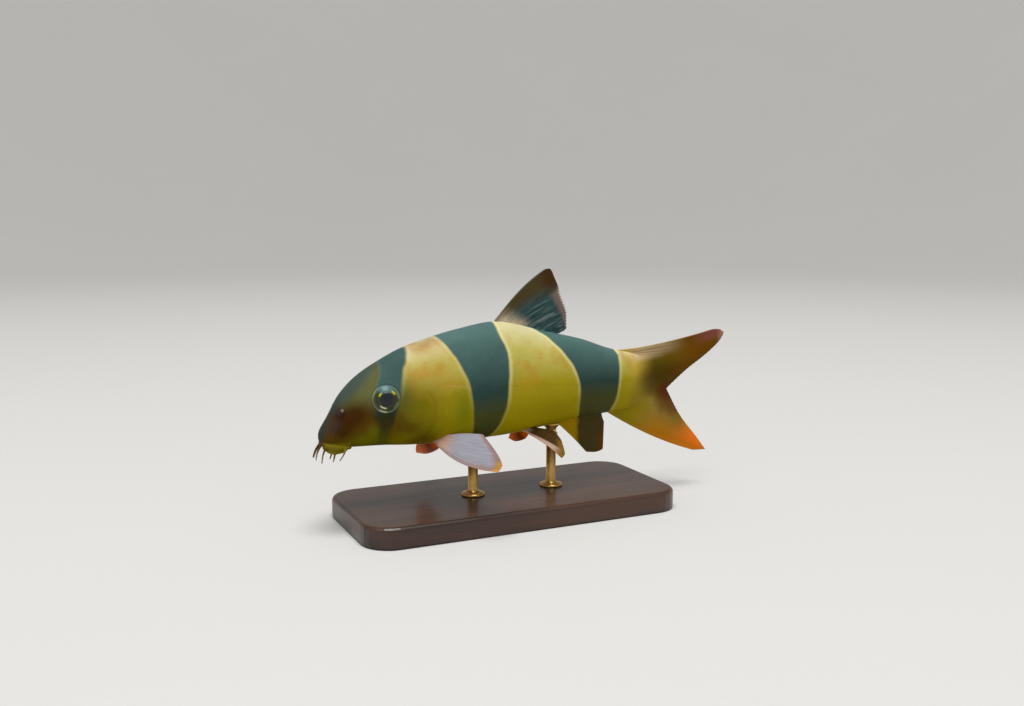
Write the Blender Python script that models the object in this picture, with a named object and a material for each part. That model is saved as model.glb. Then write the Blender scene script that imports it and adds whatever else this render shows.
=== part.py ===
"""Clown loach, life size, held as it swims above a plain display stand.

The fish faces -X with its left side towards -Y. Its body is a loft of rounded
sections through named stations, cut into head, trunk and tail stalk. Fins are
plates between a base line and a margin. Sizes are in millimetres and are
turned into metres when a mesh is made. The origin is the centre of the
underside of the stand.
"""
import math

import bmesh
import bpy
import numpy as np
from mathutils import Vector

MM = 0.001

# Placing: the snout tip is at this point of the stand's frame, in mm.
SNOUT_X = -46.0
SNOUT_Z = 22.0

GAP = 0.3                # clearance between neighbouring solids
STANDARD_LENGTH = 85.0   # snout tip to tail root
AROUND = 28              # points around a body section

# Body stations: distance from the snout tip, height of back, height of belly,
# half width, height of the widest line, roundness above and below it.
STATIONS = {
    "snout_tip": (0.0, 1.9, -0.4, 2.3, 0.7, 2.0, 2.0),
    "snout": (2.0, 4.8, -1.5, 2.9, 1.1, 2.0, 2.1),
    "nostril": (5.0, 10.0, -2.1, 3.6, 2.4, 2.0, 2.3),
    "cheek": (9.0, 13.9, -2.2, 4.6, 3.8, 2.0, 2.4),
    "eye": (14.4, 17.1, -2.35, 5.6, 5.2, 2.1, 2.5),
    "nape": (20.0, 19.7, -2.75, 6.5, 6.0, 2.1, 2.6),
    "gill_edge": (26.0, 21.5, -3.0, 7.1, 6.8, 2.1, 2.6),
    "shoulder": (34.0, 23.4, -3.0, 7.6, 7.8, 2.0, 2.5),
    "dorsal_front": (43.0, 24.7, -2.8, 7.6, 8.6, 1.9, 2.4),
    "vent": (57.0, 21.6, -1.5, 6.4, 8.8, 1.9, 2.2),
    "anal_fin": (66.0, 19.5, -0.4, 5.0, 8.9, 2.0, 2.1),
    "tail_stalk": (75.5, 16.3, 0.25, 3.3, 8.5, 2.0, 2.0),
    "tail_root": (85.0, 14.6, 0.9, 1.6, 7.9, 2.0, 2.0),
}
NOSE_ROUNDING = 3.0      # length over which the snout's width rounds off
NOSE_HEIGHT_ROUNDING = 0.8

# Cuts between the body's pieces, from the snout tip.
HEAD_END = 26.9
TRUNK_MIDDLE = 49.5
STALK_START = 70.0

# Eye: place on the head's side, radius of the disc, half thickness, bulge.
EYE_S = 14.4
EYE_Z = 9.0
EYE_RADIUS = 3.2
EYE_HALF_DEPTH = 1.9
EYE_SUNK = 0.5
EYE_FORWARD_TURN = math.radians(12)
EYE_UPWARD_TURN = math.radians(8)

# Gill cover: outline in (distance from the snout, height), plate thickness.
GILL_OUTLINE = {
    "top": (20.3, 12.9),
    "upper_rear": (23.6, 9.8),
    "rear": (25.3, 5.0),
    "lower_rear": (24.0, 1.2),
    "bottom": (21.4, -1.3),
    "lower_front": (18.6, -0.6),
    "front": (17.6, 5.0),
    "upper_front": (18.4, 11.0),
}
GILL_PLATE_PROUD = 0.25
GILL_PLATE_INNER = -0.9
GILL_POCKET_FLOOR = -1.25

# Fins: thickness at the root and at the margin.
FIN_ROOT_THICKNESS = 1.2
FIN_MARGIN_THICKNESS = 0.6

# Lips and barbels.
LIP_RADIUS = 0.75
BARBEL_ROOT_RADIUS = 0.42
BARBEL_TIP_RADIUS = 0.27

# Stand.
BASE_LENGTH = 80.0
BASE_WIDTH = 36.0
BASE_HEIGHT = 5.0
BASE_CORNER = 7.0
BASE_BEVEL = 0.9
ROD_RADIUS = 1.2
ROD_STATIONS = {"front": 37.5, "rear": 58.5}

# Materials: colour, roughness, metallic value.
LOOKS = {
    "skin_gold": ((0.42, 0.29, 0.03, 1.0), 0.38, 0.0),
    "skin_head": ((0.25, 0.17, 0.05, 1.0), 0.38, 0.0),
    "skin_banded": ((0.035, 0.075, 0.075, 1.0), 0.38, 0.0),
    "lip_flesh": ((0.13, 0.05, 0.02, 1.0), 0.42, 0.0),
    "barbel_flesh": ((0.30, 0.20, 0.12, 1.0), 0.45, 0.0),
    "nostril_flesh": ((0.62, 0.45, 0.40, 1.0), 0.45, 0.0),
    "gill_cover_skin": ((0.30, 0.20, 0.03, 1.0), 0.36, 0.0),
    "fin_dorsal_web": ((0.07, 0.08, 0.07, 1.0), 0.40, 0.0),
    "fin_tail_web": ((0.40, 0.20, 0.04, 1.0), 0.40, 0.0),
    "fin_anal_web": ((0.04, 0.025, 0.012, 1.0), 0.42, 0.0),
    "fin_breast_web": ((0.42, 0.36, 0.42, 1.0), 0.40, 0.0),
    "fin_pelvic_web": ((0.10, 0.045, 0.02, 1.0), 0.42, 0.0),
    "eye_ball": ((0.03, 0.04, 0.03, 1.0), 0.08, 0.0),
    "stand_wood": ((0.075, 0.035, 0.018, 1.0), 0.35, 0.0),
    "stand_brass": ((0.70, 0.50, 0.22, 1.0), 0.25, 1.0),
}


# Geometry

def smooth(xs, ys, x):
    """Monotone cubic through the points (xs, ys), read at x."""
    xs = np.asarray(xs, float)
    ys = np.asarray(ys, float)
    step = np.diff(xs)
    slope = np.diff(ys) / step
    tangent = np.zeros(len(xs))
    tangent[0] = slope[0]
    tangent[-1] = slope[-1]
    for i in range(1, len(xs) - 1):
        if slope[i - 1] * slope[i] > 0:
            a = 2 * step[i] + step[i - 1]
            b = step[i] + 2 * step[i - 1]
            tangent[i] = (a + b) / (a / slope[i - 1] + b / slope[i])
    x = min(max(x, xs[0]), xs[-1])
    k = min(max(int(np.searchsorted(xs, x)) - 1, 0), len(xs) - 2)
    t = (x - xs[k]) / step[k]
    value = (2 * t ** 3 - 3 * t ** 2 + 1) * ys[k]
    value += (t ** 3 - 2 * t ** 2 + t) * step[k] * tangent[k]
    value += (3 * t ** 2 - 2 * t ** 3) * ys[k + 1]
    value += (t ** 3 - t ** 2) * step[k] * tangent[k + 1]
    return float(value)


STATION_TABLE = np.array(list(STATIONS.values()))


def rounding(s, length):
    """Quarter-circle growth from 0 at the snout tip to 1 at length."""
    t = min(max(s / length, 0.0), 1.0)
    return math.sqrt(1 - (1 - t) ** 2)


def body_section(s):
    """Top, bottom, half width, widest height and both roundnesses at s."""
    at = [smooth(STATION_TABLE[:, 0], STATION_TABLE[:, c], s) for c in range(1, 7)]
    top, bottom, half, widest, above, below = at
    half *= rounding(s, NOSE_ROUNDING)
    squeeze = 0.55 + 0.45 * rounding(s, NOSE_HEIGHT_ROUNDING)
    top = widest + (top - widest) * squeeze
    bottom = widest + (bottom - widest) * squeeze
    return top, bottom, half, widest, above, below


def half_width_at(s, z):
    """Half width of the body at station s and height z."""
    top, bottom, half, widest, above, below = body_section(s)
    if z >= widest:
        reach, power = (z - widest) / (top - widest), above
    else:
        reach, power = (widest - z) / (widest - bottom), below
    return half * max(1 - reach ** power, 0.0) ** (1 / power)


def section_ring(s, grow=0.0):
    """Points (s, y, z) around the body at station s, grown outwards."""
    top, bottom, half, widest, above, below = body_section(s)
    top, bottom, half = top + grow, bottom - grow, half + grow
    ring = []
    for i in range(AROUND):
        angle = 2 * math.pi * i / AROUND
        c, h = math.cos(angle), math.sin(angle)
        power = above if h >= 0 else below
        rise = (top - widest) if h >= 0 else (widest - bottom)
        y = half * math.copysign(abs(c) ** (2 / power), c)
        z = widest + rise * math.copysign(abs(h) ** (2 / power), h)
        ring.append((s, y, z))
    return ring


def to_frame(point):
    """A point in fish millimetres, in metres of the stand's frame."""
    return Vector(((point[0] + SNOUT_X) * MM, point[1] * MM, (point[2] + SNOUT_Z) * MM))


# Mesh building

def make_material(name):
    colour, rough, metal = LOOKS[name]
    material = bpy.data.materials.new(name)
    material.use_nodes = True
    shader = material.node_tree.nodes["Principled BSDF"]
    shader.inputs["Base Color"].default_value = colour
    shader.inputs["Roughness"].default_value = rough
    shader.inputs["Metallic"].default_value = metal
    material.diffuse_color = colour
    return material


def add_object(name, bm, look=None, sharp=math.radians(50)):
    """Turn a bmesh in fish millimetres into an object shaded smooth."""
    for vert in bm.verts:
        vert.co = to_frame(vert.co)
    bmesh.ops.recalc_face_normals(bm, faces=bm.faces)
    mesh = bpy.data.meshes.new(name)
    bm.to_mesh(mesh)
    bm.free()
    mesh.shade_smooth()
    mesh.set_sharp_from_angle(angle=sharp)
    piece = bpy.data.objects.new(name, mesh)
    bpy.context.scene.collection.objects.link(piece)
    if look:
        mesh.materials.append(make_material(look))
    else:
        piece.hide_render = True
        piece.display_type = "WIRE"
    return piece


def skin_rings(bm, rings):
    """Quads between successive closed rings, with flat caps on both ends."""
    rows = [[bm.verts.new(p) for p in ring] for ring in rings]
    for row, following in zip(rows, rows[1:]):
        count = len(row)
        for i in range(count):
            j = (i + 1) % count
            bm.faces.new((row[i], row[j], following[j], following[i]))
    bm.faces.new(rows[0])
    bm.faces.new(list(reversed(rows[-1])))


def loft(name, start, end, rings, look=None, grow=0.0, lead=1.0):
    """A length of body; a lead above 1 crowds the rings near the start."""
    bm = bmesh.new()
    at = [start + (end - start) * (i / rings) ** lead for i in range(rings + 1)]
    skin_rings(bm, [section_ring(s, grow) for s in at])
    return add_object(name, bm, look)


def tube(name, path, radii, look, sides=10):
    """A round tube along a path, with a flat end and a rounded tip."""
    bm = bmesh.new()
    points = [Vector(p) for p in path]
    rings = []
    side = Vector((0, 1, 0))
    for i, point in enumerate(points):
        before, after = points[max(i - 1, 0)], points[min(i + 1, len(points) - 1)]
        along = (after - before).normalized()
        side = (side - along * side.dot(along)).normalized()
        other = along.cross(side)
        ring = []
        for k in range(sides):
            angle = 2 * math.pi * k / sides
            ring.append(point + radii[i] * (math.cos(angle) * side + math.sin(angle) * other))
        rings.append(ring)
    skin_rings(bm, rings)
    return add_object(name, bm, look, math.radians(60))


def ellipsoid(name, centre, axes, turn_z, turn_y, look=None, segments=18):
    """A ball scaled to three half axes, then turned about Z and about X."""
    bm = bmesh.new()
    bmesh.ops.create_uvsphere(bm, u_segments=segments, v_segments=segments // 2, radius=1.0)
    for vert in bm.verts:
        x, y, z = vert.co.x * axes[0], vert.co.z * axes[1], -vert.co.y * axes[2]
        y, z = (y * math.cos(turn_y) - z * math.sin(turn_y),
                y * math.sin(turn_y) + z * math.cos(turn_y))
        x, y = (x * math.cos(turn_z) - y * math.sin(turn_z),
                x * math.sin(turn_z) + y * math.cos(turn_z))
        vert.co = (x + centre[0], y + centre[1], z + centre[2])
    return add_object(name, bm, look)


def cut(piece, cutter, operation="DIFFERENCE", curled=False):
    """Boolean with a cutter; curled is for a plate that bends back on itself."""
    modifier = piece.modifiers.new(operation.title() + " " + cutter.name, "BOOLEAN")
    modifier.operation = operation
    modifier.solver = "EXACT"
    modifier.use_self = curled
    modifier.object = cutter


# Fins

def spline(points, v):
    """Point at v, from 0 to 1, on a smooth curve through the given points."""
    points = np.asarray(points, float)
    chord = np.linalg.norm(np.diff(points, axis=0), axis=1)
    at = np.concatenate(([0.0], np.cumsum(chord))) / chord.sum()
    return np.array([smooth(at, points[:, c], v) for c in range(3)])


def fin_point(fin, u, v, side):
    """Point u of the way from base to margin, on ray v of a fin."""
    base = spline(fin["base"], v)
    edge = spline(fin["margin"], v)
    bow = np.array(fin["bow_front"]) * (1 - v) + np.array(fin["bow_rear"]) * v
    point = base + (edge - base) * u + bow * 4 * u * (1 - u) * (1 if u > 0 else 0)
    return point * np.array((1, side, 1))


def fin_plate(name, fin, look, cutters, side=1, along=6, across=9):
    """A closed plate of the fin's surface, thick at the root, thin outside."""
    bm = bmesh.new()
    sheets = ([], [])
    root = -fin["root_depth"] / fin["ray"]
    for i in range(along + 1):
        u = root + (1 - root) * i / along
        rows = ([], [])
        for k in range(across + 1):
            v = k / across
            here = fin_point(fin, u, v, side)
            du = fin_point(fin, u + 0.01, v, side) - fin_point(fin, u - 0.01, v, side)
            low, high = max(v - 0.02, 0), min(v + 0.02, 1)
            dv = fin_point(fin, u, high, side) - fin_point(fin, u, low, side)
            normal = np.cross(du, dv)
            normal /= np.linalg.norm(normal)
            grade = min(max(u, 0), 1)
            thick = FIN_ROOT_THICKNESS * (1 - grade) + FIN_MARGIN_THICKNESS * grade
            rows[0].append(bm.verts.new(here + normal * thick / 2))
            rows[1].append(bm.verts.new(here - normal * thick / 2))
        sheets[0].append(rows[0])
        sheets[1].append(rows[1])
    front, back = sheets
    for i in range(along):
        for k in range(across):
            for sheet in (front, back):
                bm.faces.new((sheet[i][k], sheet[i][k + 1],
                              sheet[i + 1][k + 1], sheet[i + 1][k]))
        for k in (0, across):
            bm.faces.new((front[i][k], front[i + 1][k], back[i + 1][k], back[i][k]))
    for i in (0, along):
        for k in range(across):
            bm.faces.new((front[i][k], front[i][k + 1], back[i][k + 1], back[i][k]))
    piece = add_object(name, bm, look)
    for cutter in cutters:
        cut(piece, cutter, curled=True)
    return piece


# Each fin: base line from front to rear, margin from the leading ray's tip to
# the last ray's tip, bow of the first and last rays, and how far the root
# runs into the body. The ray is the typical length that root_depth refers to.
FINS = {
    "dorsal": {
        "base": ((43.0, 0, 24.4), (51.0, 0, 22.6), (59.6, 0, 20.7)),
        "margin": ((57.0, 0, 37.3), (59.1, 0, 34.6), (61.1, 0, 30.0), (62.8, 0, 25.2),
                   (62.8, 0, 22.2)),
        "bow_front": (-0.1, 0, 1.0), "bow_rear": (0.2, 0, -0.1),
        "root_depth": 1.6, "ray": 12.0,
    },
    "anal": {
        "base": ((60.0, 0, -1.15), (66.5, 0, -0.25), (72.6, 0, 0.3)),
        "margin": ((68.6, 0, -9.6), (71.2, 0, -9.9), (73.4, 0, -9.2), (73.4, 0, -2.2)),
        "bow_front": (0.3, 0, -0.1), "bow_rear": (0, 0, 0),
        "root_depth": 1.4, "ray": 9.0,
    },
    "tail_upper": {
        "base": ((76.2, 0, 15.8), (83.6, 0, 13.0), (85.2, 0, 7.9)),
        "margin": ((105.6, 0, 19.95), (109.4, 0, 18.7), (105.0, 0, 14.1),
                   (98.0, 0, 9.4), (92.0, 0, 5.15)),
        "bow_front": (0, 0, -0.8), "bow_rear": (0, 0, 0),
        "root_depth": 2.2, "ray": 20.0,
    },
    "tail_lower": {
        "base": ((73.6, 0, 0.75), (82.6, 0, 2.0), (85.2, 0, 7.55)),
        "margin": ((100.4, 0, -12.1), (104.4, 0, -12.3), (101.3, 0, -8.4),
                   (96.6, 0, -2.7), (92.0, 0, 4.8)),
        "bow_front": (0, 0, -1.1), "bow_rear": (0, 0, 0),
        "root_depth": 2.0, "ray": 20.0,
    },
    "pectoral_left": {
        "base": ((26.1, -4.3, -2.3), (27.4, -4.9, -1.4), (28.7, -5.4, -0.6)),
        "margin": ((34.6, -21.3, -5.9), (36.0, -20.2, -4.8), (36.5, -15.4, -2.7),
                   (36.0, -9.7, -0.4)),
        "bow_front": (-0.6, -0.2, -0.9), "bow_rear": (0, -0.6, 0.6),
        "root_depth": 1.6, "ray": 15.0,
    },
    "pectoral_right": {
        "base": ((26.1, 4.3, -2.3), (27.4, 4.9, -1.4), (28.7, 5.4, -0.6)),
        "margin": ((30.3, 19.6, -9.9), (31.7, 18.6, -10.1), (33.4, 15.0, -9.0),
                   (33.9, 10.0, -6.6)),
        "bow_front": (-0.6, 0.4, -0.6), "bow_rear": (0, 0.6, 0.2),
        "root_depth": 1.6, "ray": 15.0,
    },
    "pelvic_left": {
        "base": ((49.6, -2.9, -2.0), (50.9, -3.3, -1.5), (52.2, -3.6, -1.1)),
        "margin": ((55.8, -11.0, -7.4), (57.0, -10.4, -6.5), (57.1, -8.6, -4.1),
                   (55.7, -6.0, -1.4)),
        "bow_front": (0.3, 0, 0.3), "bow_rear": (0, -0.4, 0),
        "root_depth": 1.5, "ray": 10.0,
    },
    "pelvic_right": {
        "base": ((49.6, 2.9, -2.0), (50.9, 3.3, -1.5), (52.2, 3.6, -1.1)),
        "margin": ((52.3, 11.6, -6.6), (54.0, 11.0, -7.5), (55.6, 8.6, -6.6),
                   (55.8, 6.0, -4.4)),
        "bow_front": (-0.2, 0, -0.3), "bow_rear": (0, 0.4, -0.3),
        "root_depth": 1.5, "ray": 10.0,
    },
}


# Pieces

def clear_scene():
    for piece in list(bpy.data.objects):
        bpy.data.objects.remove(piece)


def side_prism(name, outline, centre, spread, side, look=None):
    """A prism through one side of the head, its outline spread by spread."""
    bm = bmesh.new()
    ring = []
    for s, z in outline:
        away = Vector((s - centre[0], z - centre[1]))
        away = away + away.normalized() * spread
        ring.append((centre[0] + away.x, centre[1] + away.y))
    rings = [[(s, side * y, z) for s, z in ring] for y in (0.6, 12.0)]
    skin_rings(bm, rings)
    return add_object(name, bm, look)


def make_gill_cover(side, label, head, outer, inner, floor):
    """Plate following the cheek, and its pocket in the head."""
    outline = list(GILL_OUTLINE.values())
    centre = np.mean(outline, axis=0)
    finer = []
    closed = outline + outline[:1]
    for a, b in zip(closed, closed[1:]):
        finer.append(a)
        middle = np.add(a, b) / 2
        away = middle - centre
        finer.append(tuple(middle + away / np.linalg.norm(away) * 0.28))
    plate = side_prism("gill_cover_" + label, finer, centre, 0.0, side, "gill_cover_skin")
    cut(plate, outer, "INTERSECT")
    cut(plate, inner)
    pocket = side_prism("pocket_" + label, finer, centre, GAP, side)
    cut(pocket, floor)
    cut(head, pocket)


def eye_centre(side):
    surface = half_width_at(EYE_S, EYE_Z)
    return (EYE_S, side * (surface - EYE_SUNK), EYE_Z)


def make_eye(side, label, head):
    turn_z = side * EYE_FORWARD_TURN
    turn_y = side * EYE_UPWARD_TURN
    axes = (EYE_RADIUS, EYE_HALF_DEPTH, EYE_RADIUS)
    ellipsoid("eye_" + label, eye_centre(side), axes, turn_z, turn_y, "eye_ball")
    wider = tuple(a + GAP for a in axes)
    socket = ellipsoid("socket_" + label, eye_centre(side), wider, turn_z, turn_y)
    cut(head, socket)


def make_mouth(body_gap):
    """Upper lip round the snout's underside, lower lip behind it."""
    half = [(5.9, -2.9, -1.95), (4.2, -2.95, -1.85), (2.4, -2.7, -1.6), (1.2, -1.9, -1.25),
            (0.6, -1.0, -1.05), (0.45, 0.0, -1.0)]
    path = half + [(s, -y, z) for s, y, z in reversed(half[:-1])]
    radii = [0.5] + [LIP_RADIUS] * (len(path) - 2) + [0.5]
    upper = tube("upper_lip", path, radii, "lip_flesh", 10)
    cut(upper, body_gap)
    guard = tube("upper_lip_clearance", path, [r + GAP for r in radii], None, 10)
    lower = ellipsoid("lower_lip", (3.9, 0.0, -2.35), (2.9, 2.5, 1.5), 0.0, 0.0,
                      "lip_flesh", 18)
    cut(lower, body_gap)
    cut(lower, guard)
    return guard


def make_barbel(name, root, bend, tip, cutters):
    """Tapering feeler on a curved path from root to tip."""
    root, bend, tip = Vector(root), Vector(bend), Vector(tip)
    path, radii = [], []
    steps = 7
    for i in range(steps + 1):
        t = i / steps
        path.append(root * (1 - t) ** 2 + bend * 2 * t * (1 - t) + tip * t * t)
        radii.append(BARBEL_ROOT_RADIUS * (1 - t) + BARBEL_TIP_RADIUS * t)
    piece = tube(name, path, radii, "barbel_flesh", 8)
    for cutter in cutters:
        cut(piece, cutter)


BARBELS = {
    "outer_snout": ((1.1, 2.1, -1.6), (0.1, 2.9, -2.5), (-0.2, 3.4, -4.6)),
    "inner_snout": ((0.4, 0.75, -1.4), (-0.7, 1.0, -2.2), (-1.0, 1.35, -4.3)),
    "jaw_corner": ((5.3, 3.2, -2.2), (5.0, 4.0, -2.7), (3.6, 4.4, -4.2)),
    "chin": ((3.4, 1.2, -3.5), (3.2, 1.35, -4.3), (2.9, 1.4, -5.0)),
}


def make_nostril(side, label, body_gap):
    """Short tube with a flap, standing on the snout."""
    s, z = 5.0, 6.6
    y = half_width_at(s, z)
    foot = Vector((s, side * (y - 0.4), z))
    away = Vector((-0.45, side * 0.75, 0.48)).normalized()
    path = [foot + away * step for step in (0.0, 0.6, 1.1, 1.45)]
    radii = [0.75, 0.62, 0.52, 0.42]
    cut(tube("nostril_" + label, path, radii, "nostril_flesh", 10), body_gap)


def rounded_slab(name, look):
    """The stand's base, its long corners rounded and its top edge eased."""
    bm = bmesh.new()
    ring = []
    for quarter in range(4):
        sx = 1 if quarter in (0, 3) else -1
        sy = 1 if quarter in (0, 1) else -1
        cx = sx * (BASE_LENGTH / 2 - BASE_CORNER)
        cy = sy * (BASE_WIDTH / 2 - BASE_CORNER)
        for k in range(7):
            angle = math.pi / 2 * (quarter + k / 6)
            ring.append((cx, cy, math.cos(angle), math.sin(angle)))

    def level(inset, height):
        reach = BASE_CORNER - inset
        return [(x + c * reach - SNOUT_X, y + s * reach, height - SNOUT_Z)
                for x, y, c, s in ring]

    rings = [level(0.4, 0.0), level(0.0, 0.4)]
    for k in range(4):
        angle = math.pi / 2 * k / 3
        inset = BASE_BEVEL * (1 - math.cos(angle))
        rings.append(level(inset, BASE_HEIGHT - BASE_BEVEL * (1 - math.sin(angle))))
    skin_rings(bm, rings)
    return add_object(name, bm, look, math.radians(40))


def make_rod(label, s, body_gap):
    foot = BASE_HEIGHT + GAP - SNOUT_Z
    path = [(s, 0, foot), (s, 0, foot + 5), (s, 0, body_section(s)[1] + 2.0)]
    rod = tube("stand_rod_" + label, path, [ROD_RADIUS] * 3, "stand_brass", 20)
    cut(rod, body_gap)


def main():
    clear_scene()
    body_gap = loft("body_clearance", 0.02, STANDARD_LENGTH + 0.3, 60, grow=GAP, lead=1.25)
    outer = loft("gill_outer", 12.0, 30.0, 20, grow=GILL_PLATE_PROUD)
    inner = loft("gill_inner", 12.0, 30.0, 20, grow=GILL_PLATE_INNER)
    floor = loft("gill_floor", 12.0, 30.0, 20, grow=GILL_POCKET_FLOOR)

    head = loft("head", 0.05, HEAD_END, 20, "skin_head", lead=1.4)
    loft("trunk_front", HEAD_END + GAP, TRUNK_MIDDLE, 9, "skin_gold")
    loft("trunk_rear", TRUNK_MIDDLE + GAP, STALK_START, 8, "skin_gold")
    loft("tail_stalk", STALK_START + GAP, STANDARD_LENGTH, 7, "skin_banded")

    for side, label in ((-1, "left"), (1, "right")):
        make_eye(side, label, head)
        make_gill_cover(side, label, head, outer, inner, floor)
        make_nostril(side, label, body_gap)

    guard = make_mouth(body_gap)
    chin = ellipsoid("chin_clearance", (3.9, 0.0, -2.35), (3.2, 2.8, 1.8), 0.0, 0.0)
    for side, label in ((-1, "left"), (1, "right")):
        for name, points in BARBELS.items():
            root, bend, tip = [(s, side * y, z) for s, y, z in points]
            cutters = (body_gap, guard, chin)
            make_barbel("barbel_" + name + "_" + label, root, bend, tip, cutters)

    webs = {"dorsal": "fin_dorsal_web", "anal": "fin_anal_web",
            "tail_upper": "fin_tail_web", "tail_lower": "fin_tail_web",
            "pectoral_left": "fin_breast_web", "pectoral_right": "fin_breast_web",
            "pelvic_left": "fin_pelvic_web", "pelvic_right": "fin_pelvic_web"}
    for name, web in webs.items():
        fin_plate("fin_" + name, FINS[name], web, (body_gap,))

    rounded_slab("stand_base", "stand_wood")
    for label, s in ROD_STATIONS.items():
        make_rod(label, s, body_gap)


main()
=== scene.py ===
"""Clown loach, life size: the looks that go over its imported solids.

Shapes are worked out in fish millimetres: s runs back from the snout tip, y to
the fish's right, z up. They are turned into metres of the stand's frame when a
mesh is made. One skin stands for all the flesh; fins, eyes and the stand's
posts are pieces of their own, and the stand's base keeps its solid.
"""
import math

import bpy
import numpy as np
from mathutils import Matrix, Vector


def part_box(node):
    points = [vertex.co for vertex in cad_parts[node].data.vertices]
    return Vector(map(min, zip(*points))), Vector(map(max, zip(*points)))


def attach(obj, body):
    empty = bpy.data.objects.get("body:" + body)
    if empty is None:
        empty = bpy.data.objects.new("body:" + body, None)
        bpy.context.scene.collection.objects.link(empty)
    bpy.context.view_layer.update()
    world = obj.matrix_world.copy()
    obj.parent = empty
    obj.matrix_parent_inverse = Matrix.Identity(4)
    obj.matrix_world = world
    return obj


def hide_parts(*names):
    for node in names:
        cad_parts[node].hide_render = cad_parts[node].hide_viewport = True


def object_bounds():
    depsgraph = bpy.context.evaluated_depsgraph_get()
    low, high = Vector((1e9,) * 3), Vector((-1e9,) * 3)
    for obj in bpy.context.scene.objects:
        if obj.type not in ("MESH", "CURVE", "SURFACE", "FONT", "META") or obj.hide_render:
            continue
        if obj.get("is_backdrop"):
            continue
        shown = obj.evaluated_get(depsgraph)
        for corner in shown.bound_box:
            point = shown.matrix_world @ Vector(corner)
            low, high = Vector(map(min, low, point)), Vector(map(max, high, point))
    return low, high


bl_info = {
    "name": "Clown Loach Display Model",
    "version": (1, 0, 0),
    "blender": (4, 5, 0),
    "location": "3D View > Sidebar > Loach",
    "description": "Builds a life-size clown loach on a display stand",
    "category": "Add Mesh",
}

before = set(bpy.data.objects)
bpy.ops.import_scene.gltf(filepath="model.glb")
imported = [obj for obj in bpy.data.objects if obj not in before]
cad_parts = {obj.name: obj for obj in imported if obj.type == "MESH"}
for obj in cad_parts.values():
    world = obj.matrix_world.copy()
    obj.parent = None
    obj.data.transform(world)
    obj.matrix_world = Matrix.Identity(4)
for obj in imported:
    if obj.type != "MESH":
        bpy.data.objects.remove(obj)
CAD_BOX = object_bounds()

MM = 0.001
SNOUT_PLACE = np.array((-46.0, 0.0, 22.0))    # snout tip in the stand's frame, mm

# Body stations: distance from the snout tip, height of back, height of belly,
# half width, height of the widest line, roundness above and below it.
STATIONS = {
    "snout_tip": (0.0, 1.9, -0.4, 2.3, 0.7, 2.0, 2.0),
    "snout": (2.0, 4.8, -1.5, 2.9, 1.1, 2.0, 2.1),
    "nostril": (5.0, 10.0, -2.1, 3.6, 2.4, 2.0, 2.3),
    "cheek": (9.0, 13.9, -2.2, 4.6, 3.8, 2.0, 2.4),
    "eye": (14.4, 17.1, -2.35, 5.6, 5.2, 2.1, 2.5),
    "nape": (20.0, 19.7, -2.75, 6.5, 6.0, 2.1, 2.6),
    "gill_edge": (26.0, 21.5, -3.0, 7.1, 6.8, 2.1, 2.6),
    "shoulder": (34.0, 23.4, -3.0, 7.6, 7.8, 2.0, 2.5),
    "dorsal_front": (43.0, 24.7, -2.8, 7.6, 8.6, 1.9, 2.4),
    "vent": (57.0, 21.6, -1.5, 6.4, 8.8, 1.9, 2.2),
    "anal_fin": (66.0, 19.5, -0.4, 5.0, 8.9, 2.0, 2.1),
    "tail_stalk": (75.5, 16.3, 0.25, 3.3, 8.5, 2.0, 2.0),
    "tail_root": (83.5, 14.7, 0.8, 1.15, 7.9, 2.0, 2.0),
    "tail_flesh": (86.6, 13.0, 2.4, 0.5, 7.8, 2.0, 2.0),
    "tail_flesh_end": (88.4, 10.6, 4.8, 0.08, 7.7, 2.0, 2.0),
}
STATION_TABLE = np.array(list(STATIONS.values()))
NOSE_ROUNDING = 3.0
NOSE_HEIGHT_ROUNDING = 0.8

# Eye: place on the head, radius of the disc, half depth, how far it is sunk.
EYE_PLACE = (14.4, 9.0)
EYE_RADIUS = 3.2
EYE_HALF_DEPTH = 1.9
EYE_SUNK = 0.5
EYE_FORWARD_TURN = math.radians(12)
EYE_UPWARD_TURN = math.radians(8)

# Relief of the eye's front: radii over which the lens of the pupil rises, its
# height, and the place, width and depth of the groove round the iris.
EYE_LENS = (1.2, 1.75)
EYE_LENS_HEIGHT = 0.1
EYE_GROOVE = (2.55, 0.22, 0.1)

# Rounded socket of the eye in the skin: radii between which the skin drops
# below the eye, the drop, and the place and height of the rim round it.
SOCKET_EDGE = (2.65, 3.02)
SOCKET_DEPTH = 1.6
SOCKET_RIM = (3.5, 0.07)

# Gill cover's outline, with the height of its edge and depth of the opening.
GILL_OUTLINE = ((20.3, 12.9), (23.6, 9.8), (25.3, 5.0), (24.0, 1.2), (21.4, -1.3),
                (18.6, -0.6), (17.6, 5.0), (18.4, 11.0))
GILL_RELIEF = 0.07
# Slit of the cheek below and before the eye, and the line along the side.
CHEEK_SLIT = ((10.3, 6.3), (10.9, 5.2), (12.3, 4.5), (14.2, 4.4))
CHEEK_SLIT_DEPTH = 0.07
LATERAL_LINE = ((26.5, 11.6), (33.6, 10.7), (46.5, 10.0), (62.1, 8.9), (76.0, 8.3),
                (86.0, 7.9))
LATERAL_LINE_DEPTH = 0.02

# Nostril tube: place on the snout, direction, how deep its foot lies, radius
# at each distance from the foot, where its opening is, with width and depth,
# and the middle of its tinted end.
NOSTRIL_PLACE = (5.15, 6.35)
NOSTRIL_AWAY = (-0.45, 0.75, 0.48)
NOSTRIL_SUNK = 0.4
NOSTRIL_RADII = ((0, 0.75), (0.5, 0.46), (1.35, 0.34))
NOSTRIL_OPENING = 1.6
NOSTRIL_HOLE = (0.22, 0.4)
NOSTRIL_TINTED = 1.5

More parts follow.
